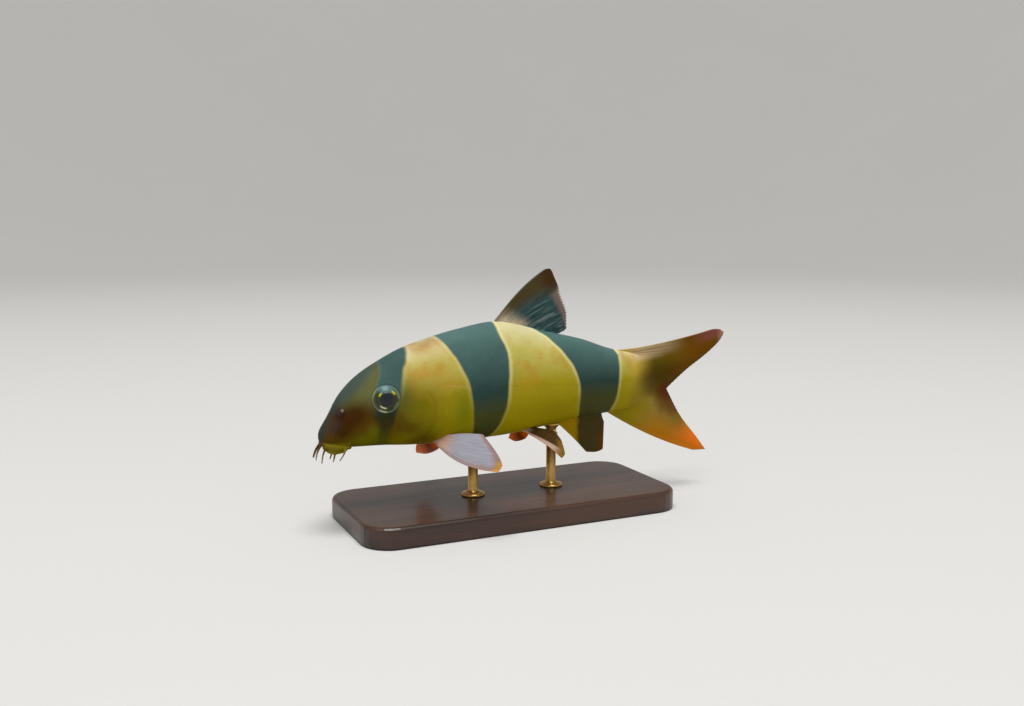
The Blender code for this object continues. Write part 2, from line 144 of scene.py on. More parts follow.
# Upper lip's path and radius, centres and half axes of the lower lip's lobes
# on the right, root, bend and tip of each feeler on the right.
LIP_PATH = ((6.3, -2.75, -1.75), (4.3, -2.7, -1.6), (2.5, -2.4, -1.35), (1.35, -1.7, -1.0),
            (0.8, -0.9, -0.8), (0.65, 0.0, -0.75), (0.8, 0.9, -0.8), (1.35, 1.7, -1.0),
            (2.5, 2.4, -1.35), (4.3, 2.7, -1.6), (6.3, 2.75, -1.75))
LIP_RADIUS = 0.55
LIP_LOBES = (((3.9, 1.1, -2.1), (2.7, 1.35, 1.3)), ((6.1, 2.6, -1.8), (0.8, 0.5, 0.45)))
BARBELS = (
    ((1.3, 1.9, -1.3), (0.1, 2.9, -2.5), (-0.2, 3.4, -4.6)),
    ((0.6, 0.65, -1.0), (-0.7, 1.0, -2.2), (-1.0, 1.35, -4.3)),
    ((5.4, 2.9, -1.9), (5.0, 4.0, -2.7), (3.6, 4.4, -4.2)),
    ((3.5, 1.1, -2.9), (3.2, 1.35, -4.3), (2.9, 1.4, -5.0)),
)
BARBEL_TIP_RADIUS = 0.14
BARBEL_TAPER = 0.13
BARBEL_ROOT_FLARE = 0.14

# Edges of the three dark bands: (height, distance from the snout) up the side.
BAND_EDGES = {
    "head_front": ((-3.0, 13.3), (-1.3, 13.1), (0.1, 12.9), (2.0, 12.9), (3.6, 12.6),
                   (5.6, 11.9), (9.0, 11.9), (12.9, 12.8), (14.3, 13.4), (15.7, 13.7),
                   (18.0, 14.2)),
    "head_rear": ((-3.0, 14.5), (-1.4, 14.6), (0.0, 14.4), (1.6, 14.9), (3.4, 15.8),
                  (5.4, 16.3), (9.0, 17.4), (12.8, 18.1), (13.7, 18.3), (15.4, 18.65),
                  (16.8, 19.4), (18.4, 20.0), (20.0, 20.5)),
    "waist_front": ((-3.0, 35.9), (-0.4, 35.1), (1.3, 34.9), (3.95, 34.7), (6.5, 34.5),
                    (8.7, 34.2), (10.8, 33.8), (12.8, 33.2), (14.9, 32.2), (17.2, 31.1),
                    (19.2, 29.85), (21.0, 28.7), (21.9, 27.9), (24.0, 26.4)),
    "waist_rear": ((-3.0, 39.6), (-0.6, 40.9), (1.0, 41.6), (3.2, 42.45), (5.45, 43.1),
                   (7.6, 43.4), (10.1, 43.6), (12.6, 43.8), (15.1, 44.0), (17.2, 44.0),
                   (19.3, 43.6), (21.0, 43.0), (23.0, 42.5), (25.0, 42.4)),
    "tail_front": ((-3.0, 65.8), (0.4, 64.8), (2.8, 64.1), (5.6, 63.9), (7.6, 63.8),
                   (9.5, 63.5), (11.4, 62.8), (13.5, 61.9), (15.6, 60.4), (17.5, 59.0),
                   (19.2, 57.3), (20.8, 55.8), (21.9, 54.1), (23.0, 52.6)),
    "tail_rear": ((-3.0, 73.9), (1.5, 74.45), (3.2, 75.1), (5.5, 75.6), (7.9, 75.9),
                  (10.2, 76.1), (12.4, 76.3), (14.6, 76.35), (15.9, 75.9), (18.0, 75.3)),
}
# Soft patches of colour on the head: (place, spread) of each.
HEAD_SPOTS = {
    "flush": (((5.2, 4.2), (2.8, 2.0)), ((7.9, 6.1), (3.1, 2.2)), ((4.6, 1.9), (1.9, 1.4))),
    "violet": (((2.3, 2.5), (0.9, 1.2)), ((3.5, 3.9), (0.9, 1.1)), ((4.4, 6.5), (0.8, 0.9))),
    "pale": (((11.6, 13.4), (2.0, 3.4)), ((9.6, 11.0), (2.4, 2.4))),
    "dusk": (((3.9, 5.8), (1.2, 1.4)), ((12.8, 5.0), (1.3, 1.8))),
    "shade": (((18.2, 9.4), (2.4, 4.2)), ((11.2, 7.6), (1.6, 1.6))),
    "nape": (((22.6, 22.4), (4.0, 2.6)), ((26.5, 22.8), (3.0, 1.6))),
    "blotch": (((17.3, 4.0), (1.8, 2.4)), ((19.4, 2.2), (2.8, 1.5)), ((23.2, -0.8), (3.0, 1.8))),
    "tan": (((23.0, 20.0), (3.4, 1.6)), ((25.4, 15.0), (4.0, 2.8)), ((29.6, 11.6), (3.0, 1.2))),
    "green": (((9.8, -0.3), (3.4, 1.6)), ((11.4, 2.0), (1.2, 1.6)), ((17.2, -1.0), (3.2, 1.5)),
              ((32.4, 5.6), (2.6, 5.0))),
}
# Lower edge of the blue-grey strip along the snout and brow.
SNOUT_STRIP = ((0.0, -1.4), (1.2, 1.7), (2.35, 4.8), (5.5, 8.5), (9.0, 11.5), (12.1, 14.9),
               (13.5, 16.6))

# Each fin: base line from front to rear, margin from the leading ray's tip to
# the last one's, bow of the first and last rays, a typical ray's length, number
# of rays, scallops of the margin and where they start, sway to the side, how
# the rays crowd along the base, thickness and spread of the flesh at the root,
# relief of the rays, and whether the last ray is joined to another lobe.
ANY_FIN = {"bow_rear": (0, 0, 0), "toothed_from": 0.05, "fan": 1.0, "flesh": (0.55, 1.3),
           "relief": 1.0, "joined": False}
TAIL_LOBE = {**ANY_FIN, "ray": 20.0, "rays": 12, "scallop": 0.006, "flesh": (0.95, 4.4),
             "relief": 0.5, "joined": True}
PECTORAL = {**ANY_FIN, "ray": 15.0, "rays": 15, "scallop": 0.007}
PELVIC = {**ANY_FIN, "ray": 10.0, "rays": 9, "scallop": 0.008}
PECTORAL_BASE = ((26.1, 4.3, -2.3), (27.4, 4.9, -1.4), (28.7, 5.4, -0.6))
PELVIC_BASE = ((49.6, 2.9, -2.0), (50.9, 3.3, -1.5), (52.2, 3.6, -1.1))


def to_left(points):
    """Points of the right side, on the left side."""
    return tuple((s, -y, z) for s, y, z in points)


FINS = {
    "dorsal": {
        **ANY_FIN, "base": ((43.0, 0, 24.4), (51.0, 0, 22.6), (59.6, 0, 20.7)),
        "margin": ((56.4, 0, 36.8), (57.6, 0, 36.9), (59.1, 0, 34.6), (61.1, 0, 30.0),
                   (62.8, 0, 25.2), (62.8, 0, 22.2)),
        "bow_front": (-0.1, 0, 1.0), "bow_rear": (0.2, 0, -0.1), "fan": 1.8,
        "ray": 12.0, "rays": 12, "scallop": 0.04, "toothed_from": 0.36, "sway": 0.2,
    },
    "anal": {
        **ANY_FIN, "base": ((60.0, 0, -1.15), (66.5, 0, -0.25), (72.6, 0, 0.3)),
        "margin": ((68.6, 0, -9.6), (71.2, 0, -9.9), (73.4, 0, -9.2), (73.4, 0, -2.2)),
        "bow_front": (0.3, 0, -0.1), "ray": 9.0, "rays": 9, "scallop": 0.006, "sway": 0.15,
    },
    "tail_upper": {
        **TAIL_LOBE, "base": ((76.2, 0, 15.8), (83.6, 0, 13.0), (85.2, 0, 7.68)),
        "margin": ((105.4, 0, 19.8), (107.6, 0, 19.75), (109.3, 0, 18.7), (108.4, 0, 17.1),
                   (105.0, 0, 14.1), (98.0, 0, 9.4), (92.0, 0, 4.92)),
        "bow_front": (0, 0, -0.8), "sway": 0.3,
    },
    "tail_lower": {
        **TAIL_LOBE, "base": ((73.6, 0, 0.75), (82.6, 0, 2.0), (85.2, 0, 7.74)),
        "margin": ((100.4, 0, -12.1), (104.4, 0, -12.3), (101.3, 0, -8.4), (96.6, 0, -2.7),
                   (92.0, 0, 5.00)),
        "bow_front": (0, 0, -1.1), "sway": -0.3,
    },
    "pectoral_left": {
        **PECTORAL, "base": to_left(PECTORAL_BASE),
        "margin": ((34.6, -21.3, -5.9), (36.0, -20.2, -4.8), (36.5, -15.4, -2.7),
                   (36.0, -9.7, -0.4)),
        "bow_front": (-0.8, -0.3, -1.6), "bow_rear": (0, -0.6, 0.6), "sway": 0.15,
    },
    "pectoral_right": {
        **PECTORAL, "base": PECTORAL_BASE,
        "margin": ((30.3, 19.6, -9.9), (31.7, 18.6, -10.1), (33.4, 15.0, -9.0),
                   (33.9, 10.0, -6.6)),
        "bow_front": (-0.6, 0.4, -0.6), "bow_rear": (0, 0.6, 0.2), "sway": -0.15,
    },
    "pelvic_left": {
        **PELVIC, "base": to_left(PELVIC_BASE),
        "margin": ((55.8, -11.0, -7.4), (57.0, -10.4, -6.5), (57.1, -8.6, -4.1),
                   (55.7, -6.0, -1.4)),
        "bow_front": (0.3, 0, 0.3), "bow_rear": (0, -0.4, 0), "sway": 0.12,
    },
    "pelvic_right": {
        **PELVIC, "base": PELVIC_BASE,
        "margin": ((52.3, 11.6, -6.6), (54.0, 11.0, -7.5), (55.6, 8.6, -6.6),
                   (55.8, 6.0, -4.4)),
        "bow_front": (-0.2, 0, -0.3), "bow_rear": (0, 0.4, -0.3), "sway": -0.12,
    },
}
FIN_ROOT_DEPTH = 1.6     # how far a fin's root runs into the body
COLUMNS_PER_RAY = 14
LONG_RAY = 11
LONG_RAY_ROWS = 90
SHORT_RAY_ROWS = 60

SIDES = ((-1, "left"), (1, "right"))
FLESH_NODES = (
    "head", "trunk_front", "trunk_rear", "tail_stalk", "upper_lip", "lower_lip",
    "gill_cover_left", "gill_cover_right", "nostril_left", "nostril_right",
    "barbel_chin_left", "barbel_chin_right", "barbel_inner_snout_left",
    "barbel_inner_snout_right", "barbel_jaw_corner_left", "barbel_jaw_corner_right",
    "barbel_outer_snout_left", "barbel_outer_snout_right",
)

# Stage: the floor's upward bend and sides, the lights' names, settings, sizes
# and places, the camera's place, turn and dip, and its lens in picture widths.
FLOOR_BEND = 1.1
FLOOR_SIDES = 96
LIGHTS = (("top_light", "key", 0.4, (-0.1, -0.25, 1.3)),
          ("fill_light", "fill", 0.25, (-0.5, -0.55, 0.35)))
CAMERA_PLACE = (-0.105153, -0.229473, 0.074412)
CAMERA_TURN = math.radians(-25)
CAMERA_DIP = math.radians(8)
SENSOR_WIDTH = 36
LENS_WIDTHS = 1063 / 1024


# Settings

def linear(red, green, blue):
    """A colour as seen on screen, 0 to 255, as the linear one Blender keeps."""
    parts = [c / 255 for c in (red, green, blue)]
    return [c / 12.92 if c <= 0.04045 else ((c + 0.055) / 1.055) ** 2.4 for c in parts]


def colour(name, description, *screen):
    return bpy.props.FloatVectorProperty(name=name, description=description, size=3,
                                         default=linear(*screen), subtype="COLOR",
                                         min=0, max=1)


def length(name, description, default):
    return bpy.props.FloatProperty(name=name, description=description, default=default,
                                   min=0, unit="LENGTH", subtype="DISTANCE", precision=5)


class LOACH_PG_skin(bpy.types.PropertyGroup):
    """Sizes and colours of the skin."""
    voxel: length("Surface Detail", "Size of the skin's faces on the trunk", 0.00025)
    scale_relief: length("Scale Relief", "Height of the minute embedded scales", 0.00002)
    # Painted top light and belly shade: these four golds are one gold, paler where the top light
    # falls and deeper in the shade under the belly.
    gold_back_lit: colour("Gold, Back", "Pale gold along the back", 210, 203, 158)
    gold_upper_lit: colour("Gold, Upper Side", "Gold under the back", 188, 178, 96)
    gold_side: colour("Gold, Side", "Gold half-way down the side", 162, 147, 26)
    gold_belly_shaded: colour("Gold, Belly", "Deep gold under the belly", 152, 136, 3)
    # Painted sheen: the bands' paler slate green on the back is top light on them.
    band_back_sheen: colour("Band, Back", "Slate green of the bands on the back", 80, 110, 106)
    band_side: colour("Band, Side", "Slate green of the bands on the side", 44, 67, 62)
    band_belly: colour("Band, Belly", "Olive black of the bands below", 67, 69, 30)
    rim: colour("Band Rim", "Pale line along a band's edge", 236, 226, 164)
    brow: colour("Brow", "Grey strip on snout and brow", 64, 79, 74)
    cheek: colour("Cheek", "Olive of snout and cheek", 86, 86, 44)
    snout_low: colour("Lower Snout", "Brown gold of the lower snout", 86, 62, 1)
    snout_flush: colour("Snout Flush", "Red-brown of the snout", 58, 29, 1)
    snout_violet: colour("Snout Front", "Violet grey of the snout's front", 60, 46, 44)
    dusk: colour("Dark Patch", "Dark patch by the nostril and under the eye", 40, 26, 12)
    cover: colour("Gill Cover", "Olive gold of the gill cover", 112, 101, 4)
    blotch: colour("Cheek Blotch", "Brown of the cheek behind the eye", 82, 58, 1)
    under_eye: colour("Band Under Eye", "Brown olive of the first band below", 52, 44, 7)
    green: colour("Green Gold", "Greenish gold before the second band", 104, 112, 4)
    shoulder: colour("Shoulder", "Orange tan above the gill cover", 184, 130, 30)
    shade: colour("Behind Eye", "Olive shade behind the eye", 84, 88, 36)
    pale: colour("Before Eye", "Pale olive before and above the eye", 112, 114, 74)
    nape: colour("Nape", "Brown tan along the nape", 128, 104, 64)
    nostril: colour("Nostril", "Pink flap of the nostril", 142, 114, 106)
    lips: colour("Lips", "Olive yellow of the lower lip", 120, 110, 18)
    barbels: colour("Barbels", "Brown of the feelers", 116, 96, 58)


class LOACH_PG_fins(bpy.types.PropertyGroup):
    """Sizes and colours of the fins."""
    web: length("Web Thickness", "Thickness of the web between rays", 0.00014)
    ray: length("Ray Thickness", "Extra thickness of a ray at its root", 0.00014)
    dorsal_root: colour("Dorsal Root", "Glow along the back", 190, 172, 146)
    dorsal_web: colour("Dorsal Web", "Blue-black web", 48, 76, 78)
    dorsal_front: colour("Dorsal Front", "Taupe front third", 74, 64, 34)
    dorsal_tip: colour("Dorsal Tip", "Red-brown tip", 66, 40, 14)
    # Pale streaks in the web; the same colour paints a highlight along the leading ray.
    dorsal_streak_and_highlight: colour("Dorsal Streaks", "Pale streaks low in the web", 122, 134, 130)
    dorsal_rim: colour("Dorsal Rim", "Mauve hind margin", 122, 106, 100)
    tail_root: colour("Tail Root", "Gold above at the root", 208, 176, 66)
    tail_root_low: colour("Tail Root, Low", "Olive gold below at the root", 140, 122, 12)
    tail_web: colour("Tail Web", "Olive brown upper web", 96, 80, 10)
    tail_smudge: colour("Tail Smudge", "Dark smudge by the fork", 62, 44, 8)
    tail_notch: colour("Tail Notch", "Red brown at the fork", 84, 36, 16)
    tail_streak: colour("Tail Streaks", "Pinkish rays along the top", 216, 188, 150)
    tail_upper_web: colour("Tail Upper Web", "Orange brown of the upper lobe", 104, 66, 3)
    tail_upper_tip: colour("Tail Upper Tip", "Rose brown upper tip", 124, 72, 62)
    tail_lower_web: colour("Tail Lower Web", "Beige lower web", 142, 122, 50)
    tail_lower_edge: colour("Tail Lower Edge", "Orange lower edge", 172, 112, 14)
    tail_lower_tip: colour("Tail Lower Tip", "Orange lower tip", 230, 120, 32)
    anal_root: colour("Anal Root", "Gold front", 164, 130, 2)
    anal_web: colour("Anal Web", "Black web", 72, 64, 30)
    anal_tip: colour("Anal Tip", "Red-brown rear corner", 100, 58, 4)
    breast_root: colour("Pectoral Root", "Pink root", 188, 152, 130)
    # Painted sheen: the silver on the pectoral's upper face is top light on the fin, over its own
    # pinkish lavender.
    breast_web: colour("Pectoral Web", "Silver lavender upper face", 148, 148, 158)
    breast_rim: colour("Pectoral Rim", "Mauve rim", 138, 108, 98)
    breast_tip: colour("Pectoral Tip", "Orange yellow tip", 176, 132, 62)
    under: colour("Paired Fins, Under", "Orange red of the lower faces", 238, 116, 2)
    # Painted shade for the middle of the paired fins' lower faces.
    under_shade: colour("Paired Fins, Dark", "Dark red of the lower faces", 110, 38, 6)
    pelvic_root: colour("Pelvic Root", "Pink band on the leading rays", 184, 154, 134)
    pelvic_web: colour("Pelvic Web", "Dark brown web", 70, 50, 19)
    pelvic_tip: colour("Pelvic Tip", "Olive brown tip", 118, 90, 34)


class LOACH_PG_eyes(bpy.types.PropertyGroup):
    """Sizes and colours of the eyes."""
    pupil: length("Pupil Radius", "Radius of the pupil", 0.00148)
    pupil_tint: colour("Pupil", "Blue-black of the pupil", 30, 34, 40)
    iris: colour("Iris", "Olive green of the iris", 48, 52, 20)
    gold: colour("Iris Gold", "Gold flecks round the pupil", 196, 192, 24)
    glint: colour("Iris Glint", "Pale arc below the pupil", 222, 224, 186)
    ring: colour("Outer Ring", "Pale edge of the eye", 128, 142, 112)
    veil: colour("Band Over Eye", "Slate green of the band on the eye", 84, 118, 116)


class LOACH_PG_stand(bpy.types.PropertyGroup):
    """Sizes and colours of the stand."""
    post: length("Post Radius", "Radius of a brass post", 0.0012)
    wood: colour("Wood", "Dark stained wood", 70, 42, 26)
    wood_grain: colour("Wood Grain", "Darker grain of the wood", 36, 20, 12)
    brass: colour("Brass", "Aged brass", 196, 158, 92)
    brass_dull: colour("Dull Brass", "Duller smears on the brass", 150, 112, 66)


class LOACH_PG_stage(bpy.types.PropertyGroup):
    """Floor, light and camera."""
    floor: colour("Floor", "Pale floor and backdrop", 212, 211, 208)
    floor_radius: length("Floor Radius", "Flat part of the floor", 0.9)
    key: bpy.props.FloatProperty(name="Top Light", description="Power of the light above",
                                 default=66.0, min=0, unit="POWER")
    fill: bpy.props.FloatProperty(name="Fill Light", description="Power of the front light",
                                  default=1.0, min=0, unit="POWER")
    sky: bpy.props.FloatProperty(name="Sky", description="Strength of the even pale light",
                                 default=0.3, min=0)


# Curves

def smooth(points, x):
    """Monotone cubic through points of two numbers, read at each x."""
    xs, ys = np.asarray(points, float).T
    x = np.clip(np.asarray(x, float), xs[0], xs[-1])
    step = np.diff(xs)
    slope = np.diff(ys) / step
    tangent = np.zeros(len(xs))
    tangent[0], tangent[-1] = slope[0], slope[-1]
    before, after = slope[:-1], slope[1:]
    keep = np.nonzero(before * after > 0)[0]
    a = (2 * step[1:] + step[:-1])[keep]
    b = (step[1:] + 2 * step[:-1])[keep]
    tangent[keep + 1] = (a + b) / (a / before[keep] + b / after[keep])
    k = np.clip(np.searchsorted(xs, x) - 1, 0, len(xs) - 2)
    t = (x - xs[k]) / step[k]
    value = (2 * t ** 3 - 3 * t ** 2 + 1) * ys[k] + (3 * t ** 2 - 2 * t ** 3) * ys[k + 1]
    value += ((t ** 3 - 2 * t ** 2 + t) * tangent[k] + (t ** 3 - t ** 2) * tangent[k + 1]) * step[k]
    return value


def along(points, v):
    """Points at each v, from 0 to 1, of a smooth curve through points."""
    points = np.asarray(points, float)
    chord = np.linalg.norm(np.diff(points, axis=0), axis=1)
    at = np.concatenate(([0.0], np.cumsum(chord))) / chord.sum()
    return np.stack([smooth(np.column_stack((at, column)), v) for column in points.T], axis=-1)


def ease(x, low, high):
    """0 below low, 1 above high, with an even slope between."""
    t = np.clip((x - low) / (high - low), 0, 1)
    return t * t * (3 - 2 * t)


def spot(s, z, place, spread):
    """Soft round spot, 1 at its place and falling off over its spread."""
    return np.exp(-((s - place[0]) / spread[0]) ** 2 - ((z - place[1]) / spread[1]) ** 2)


def body_section(s):
    """Top, bottom, half width, widest height and both roundnesses at s."""
    top, bottom, half, widest, above, below = (
        smooth(STATION_TABLE[:, (0, column)], s) for column in range(1, 7))

    def rounding(reach):
        return np.sqrt(1 - (1 - np.clip(s / reach, 0, 1)) ** 2)

    squeeze = 0.55 + 0.45 * rounding(NOSE_HEIGHT_ROUNDING)
    return (widest + (top - widest) * squeeze, widest + (bottom - widest) * squeeze,
            half * rounding(NOSE_ROUNDING), widest, above, below)


def half_width_at(s, z):
    """Half width of the body at station s and height z."""
    top, bottom, half, widest, above, below = body_section(np.float64(s))
    if z >= widest:
        reach, power = (z - widest) / (top - widest), above
    else:
        reach, power = (widest - z) / (widest - bottom), below
    return float(half * max(1 - reach ** power, 0.0) ** (1 / power))


def nostril_axis(side):
    """Foot of a nostril's tube in the snout, and the direction it points."""
    s, z = NOSTRIL_PLACE
    foot = np.array((s, side * (half_width_at(s, z) - NOSTRIL_SUNK), z))
    away = np.array(NOSTRIL_AWAY) * (1, side, 1)
    return foot, away / np.linalg.norm(away)


# Meshes

def to_frame(points):
    """Fish millimetres as metres of the stand's frame."""
    return (points + SNOUT_PLACE) * MM


def add_piece(name, points, faces, fields=None):
    """A smooth mesh object, with a number per vertex for each named field."""
    mesh = bpy.data.meshes.new(name)
    mesh.from_pydata(points.tolist(), [], faces)
    mesh.update()
    for field, values in (fields or {}).items():
        made = mesh.attributes.new(field, "FLOAT", "POINT")
        made.data.foreach_set("value", np.asarray(values, np.float32).ravel())
    mesh.shade_smooth()
    piece = bpy.data.objects.new(name, mesh)
    bpy.context.scene.collection.objects.link(piece)
    return piece


def grid_faces(rows, columns, first=0, closed=False):
    """Quads of a grid of points, its last column joined to the first if closed."""
    i, k = np.meshgrid(np.arange(rows - 1), np.arange(columns - (0 if closed else 1)),
                       indexing="ij")
    j = (k + 1) % columns
    a, b = i * columns + k, i * columns + j
    return (np.stack((a, b, b + columns, a + columns), axis=-1).reshape(-1, 4) + first).tolist()


def closed_tube(rings):
    """Points and faces of rings of points, skinned and capped at both ends."""
    count, around, _ = rings.shape
    faces = grid_faces(count, around, closed=True)
    faces.append(list(range(around))[::-1])
    faces.append([(count - 1) * around + k for k in range(around)])
    return rings.reshape(-1, 3), faces


def tube(path, radii, around=20):
    """A round tube on a path, with a domed tip."""
    path = np.asarray(path, float)
    rings = []
    side = Vector((0, 1, 0.01))
    for i, point in enumerate(path):
        ahead = Vector(path[min(i + 1, len(path) - 1)] - path[max(i - 1, 0)]).normalized()
        side = (side - ahead * side.dot(ahead)).normalized()
        other = ahead.cross(side)
        angle = np.linspace(0, 2 * math.pi, around, endpoint=False)[:, None]
        rings.append(point + radii[i] * (np.cos(angle) * side + np.sin(angle) * other))
    tip, last = path[-1], rings[-1]
    ahead = (path[-1] - path[-2]) / np.linalg.norm(path[-1] - path[-2])
    for turn in np.radians((30, 60, 80)):
        shrunk = tip + (last - tip) * math.cos(turn)
        rings.append(shrunk + ahead * radii[-1] * math.sin(turn))
    return closed_tube(np.array(rings))


def ball(centre, axes, segments=32):
    """Points and faces of an ellipsoid."""
    polar = np.linspace(0.02, math.pi - 0.02, segments)[:, None]
    angle = np.linspace(0, 2 * math.pi, segments, endpoint=False)[None, :]
    unit = np.stack((np.sin(polar) * np.cos(angle), np.sin(polar) * np.sin(angle),
                     np.cos(polar) + 0 * angle), axis=-1)
    return closed_tube(unit * np.array(axes) + np.array(centre))


# Skin

HEAD_DETAIL = 1.75        # how many times finer the skin's faces are on the head
ROUNDS_BEFORE = 5         # rounds of evening out before the relief is pressed in
ROUNDS_AFTER = 1


def swell(s):
    """Local enlargement of the work space, so that the head gets more faces."""
    return 1 + (HEAD_DETAIL - 1) * (1 - ease(s, 10.0, 26.0))


SWELL_S = np.linspace(-8, 100, 2161)
SWELL_MIDDLES = (SWELL_S[1:] + SWELL_S[:-1]) / 2
SWELL_AT = np.concatenate(([0.0], np.cumsum(np.diff(SWELL_S) * swell(SWELL_MIDDLES))))


def swollen(points):
    """Points as they lie in the enlarged work space."""
    grow = swell(points[:, 0])[:, None]
    return np.column_stack((np.interp(points[:, 0], SWELL_S, SWELL_AT), points[:, 1:] * grow))


def unswollen(points):
    """Points of the work space back in fish millimetres."""
    s = np.interp(points[:, 0], SWELL_AT, SWELL_S)
    return np.column_stack((s, points[:, 1:] / swell(s)[:, None]))


def flesh_parts():
    """Closed shapes that overlap and are fused into the skin."""
    s = np.concatenate((3 * np.linspace(0.02, 1, 30) ** 2, np.linspace(3.2, 88.4, 256)))[:, None]
    top, bottom, half, widest, above, below = body_section(s)
    angle = np.linspace(0, 2 * math.pi, 128, endpoint=False)[None, :]
    c, h = np.cos(angle), np.sin(angle)
    power = np.where(h >= 0, above, below)
    rise = np.where(h >= 0, top - widest, widest - bottom)
    y = half * np.sign(c) * np.abs(c) ** (2 / power)
    z = widest + rise * np.sign(h) * np.abs(h) ** (2 / power)
    yield closed_tube(np.stack((s + 0 * y, y, z), axis=-1))

    lip = along(LIP_PATH, np.linspace(0, 1, 60))
    pinch = 1 - 0.33 * np.abs(np.linspace(-1, 1, 60)) ** 6
    notch = 1 - 0.12 * np.exp(-(np.linspace(-1, 1, 60) / 0.06) ** 2)
    yield tube(lip, LIP_RADIUS * pinch * notch)
    for side in (-1, 1):
        for centre, axes in LIP_LOBES:
            yield ball(np.array(centre) * (1, side, 1), axes)
        for root, bend, tip in BARBELS:
            root, bend, tip = (np.array(p) * (1, side, 1) for p in (root, bend, tip))
            t = np.linspace(0, 1, 26)[:, None]
            path = root * (1 - t) ** 2 + bend * 2 * t * (1 - t) + tip * t * t
            yield tube(path, BARBEL_TIP_RADIUS + BARBEL_TAPER * (1 - t[:, 0])
                       + BARBEL_ROOT_FLARE * np.exp(-t[:, 0] / 0.1))
        foot, away = nostril_axis(side)
        reach, radii = zip(*NOSTRIL_RADII)
        steps = np.linspace(0, reach[-1], 12)
        yield tube(foot + away * steps[:, None], np.interp(steps, reach, radii))


def fused_flesh(voxel):
    """The overlapping shapes as one closed skin: points and quads."""
    points, faces, count = [], [], 0
    for part_points, part_faces in flesh_parts():
        points.append(swollen(part_points))
        faces += [[i + count for i in face] for face in part_faces]
        count += len(part_points)
    rough = add_piece("rough_flesh", np.concatenate(points), faces)
    fuse = rough.modifiers.new("Fuse", "REMESH")
    fuse.mode = "VOXEL"
    fuse.voxel_size = voxel
    evaluated = rough.evaluated_get(bpy.context.evaluated_depsgraph_get())
    mesh = bpy.data.meshes.new_from_object(evaluated)
    found = np.zeros(len(mesh.vertices) * 3)
    mesh.vertices.foreach_get("co", found)
    corners = np.zeros(len(mesh.loops), int)
    mesh.loops.foreach_get("vertex_index", corners)
    edges = np.zeros(len(mesh.edges) * 2, int)
    mesh.edges.foreach_get("vertices", edges)
    bpy.data.meshes.remove(mesh)
    bpy.data.meshes.remove(rough.data)
    return found.reshape(-1, 3), corners.reshape(-1, 4), edges.reshape(-1, 2)


def relax(points, edges, rounds):
    """Even out small steps without shrinking the shape."""
    count = len(points)
    ends, others = np.concatenate((edges, edges[:, ::-1])).T
    near = np.bincount(ends, minlength=count)[:, None]
    for _ in range(rounds):
        for pull in (0.5, -0.52):
            mean = np.column_stack([np.bincount(ends, points[others, c], count)
                                    for c in range(3)]) / near
            points = points + pull * (mean - points)
    return points


def normals_of(points, quads):
    """Unit normal at each vertex."""
    across = np.cross(points[quads[:, 2]] - points[quads[:, 0]],
                      points[quads[:, 3]] - points[quads[:, 1]])
    normal = np.column_stack([np.bincount(quads.ravel(), np.repeat(across[:, c], 4), len(points))
                              for c in range(3)])
    return normal / np.maximum(np.linalg.norm(normal, axis=1), 1e-9)[:, None]


def turn_eye(points, side, back=False):
    """Turn points from an eye's own axes to the head's, or back."""
    tilt = Matrix.Rotation(side * EYE_UPWARD_TURN, 3, "X")
    swing = Matrix.Rotation(side * EYE_FORWARD_TURN, 3, "Z")
    turn = np.array(swing @ tilt)
    return points @ (turn if back else turn.T)


def eye_centre(side):
    return np.array((EYE_PLACE[0], side * (half_width_at(*EYE_PLACE) - EYE_SUNK), EYE_PLACE[1]))


def gill_margin(s, z):
    """How far a point is inside the gill cover's outline, and how far back."""
    outline = np.array(GILL_OUTLINE)
    centre = outline.mean(axis=0)
    angle = np.arctan2(outline[:, 1] - centre[1], outline[:, 0] - centre[0])
    order = np.argsort(angle)
    angle, radius = angle[order], np.linalg.norm(outline - centre, axis=1)[order]
    turns = np.concatenate((angle - 2 * math.pi, angle, angle + 2 * math.pi))
    at = np.arctan2(z - centre[1], s - centre[0])
    reach = smooth(np.column_stack((turns, np.tile(radius, 3))), at)
    rear = ease(np.cos(at + 0.55), -0.35, 0.35)
    return reach - np.hypot(s - centre[0], z - centre[1]), rear


def path_distance(s, z, path):
    """Distance in the side view from a path of points."""
    least = np.full(len(s), 1e9)
    for (s0, z0), (s1, z1) in zip(path, path[1:]):
        ds, dz = s1 - s0, z1 - z0
        t = np.clip(((s - s0) * ds + (z - z0) * dz) / (ds * ds + dz * dz), 0, 1)
        least = np.minimum(least, np.hypot(s - s0 - t * ds, z - z0 - t * dz))
    return least


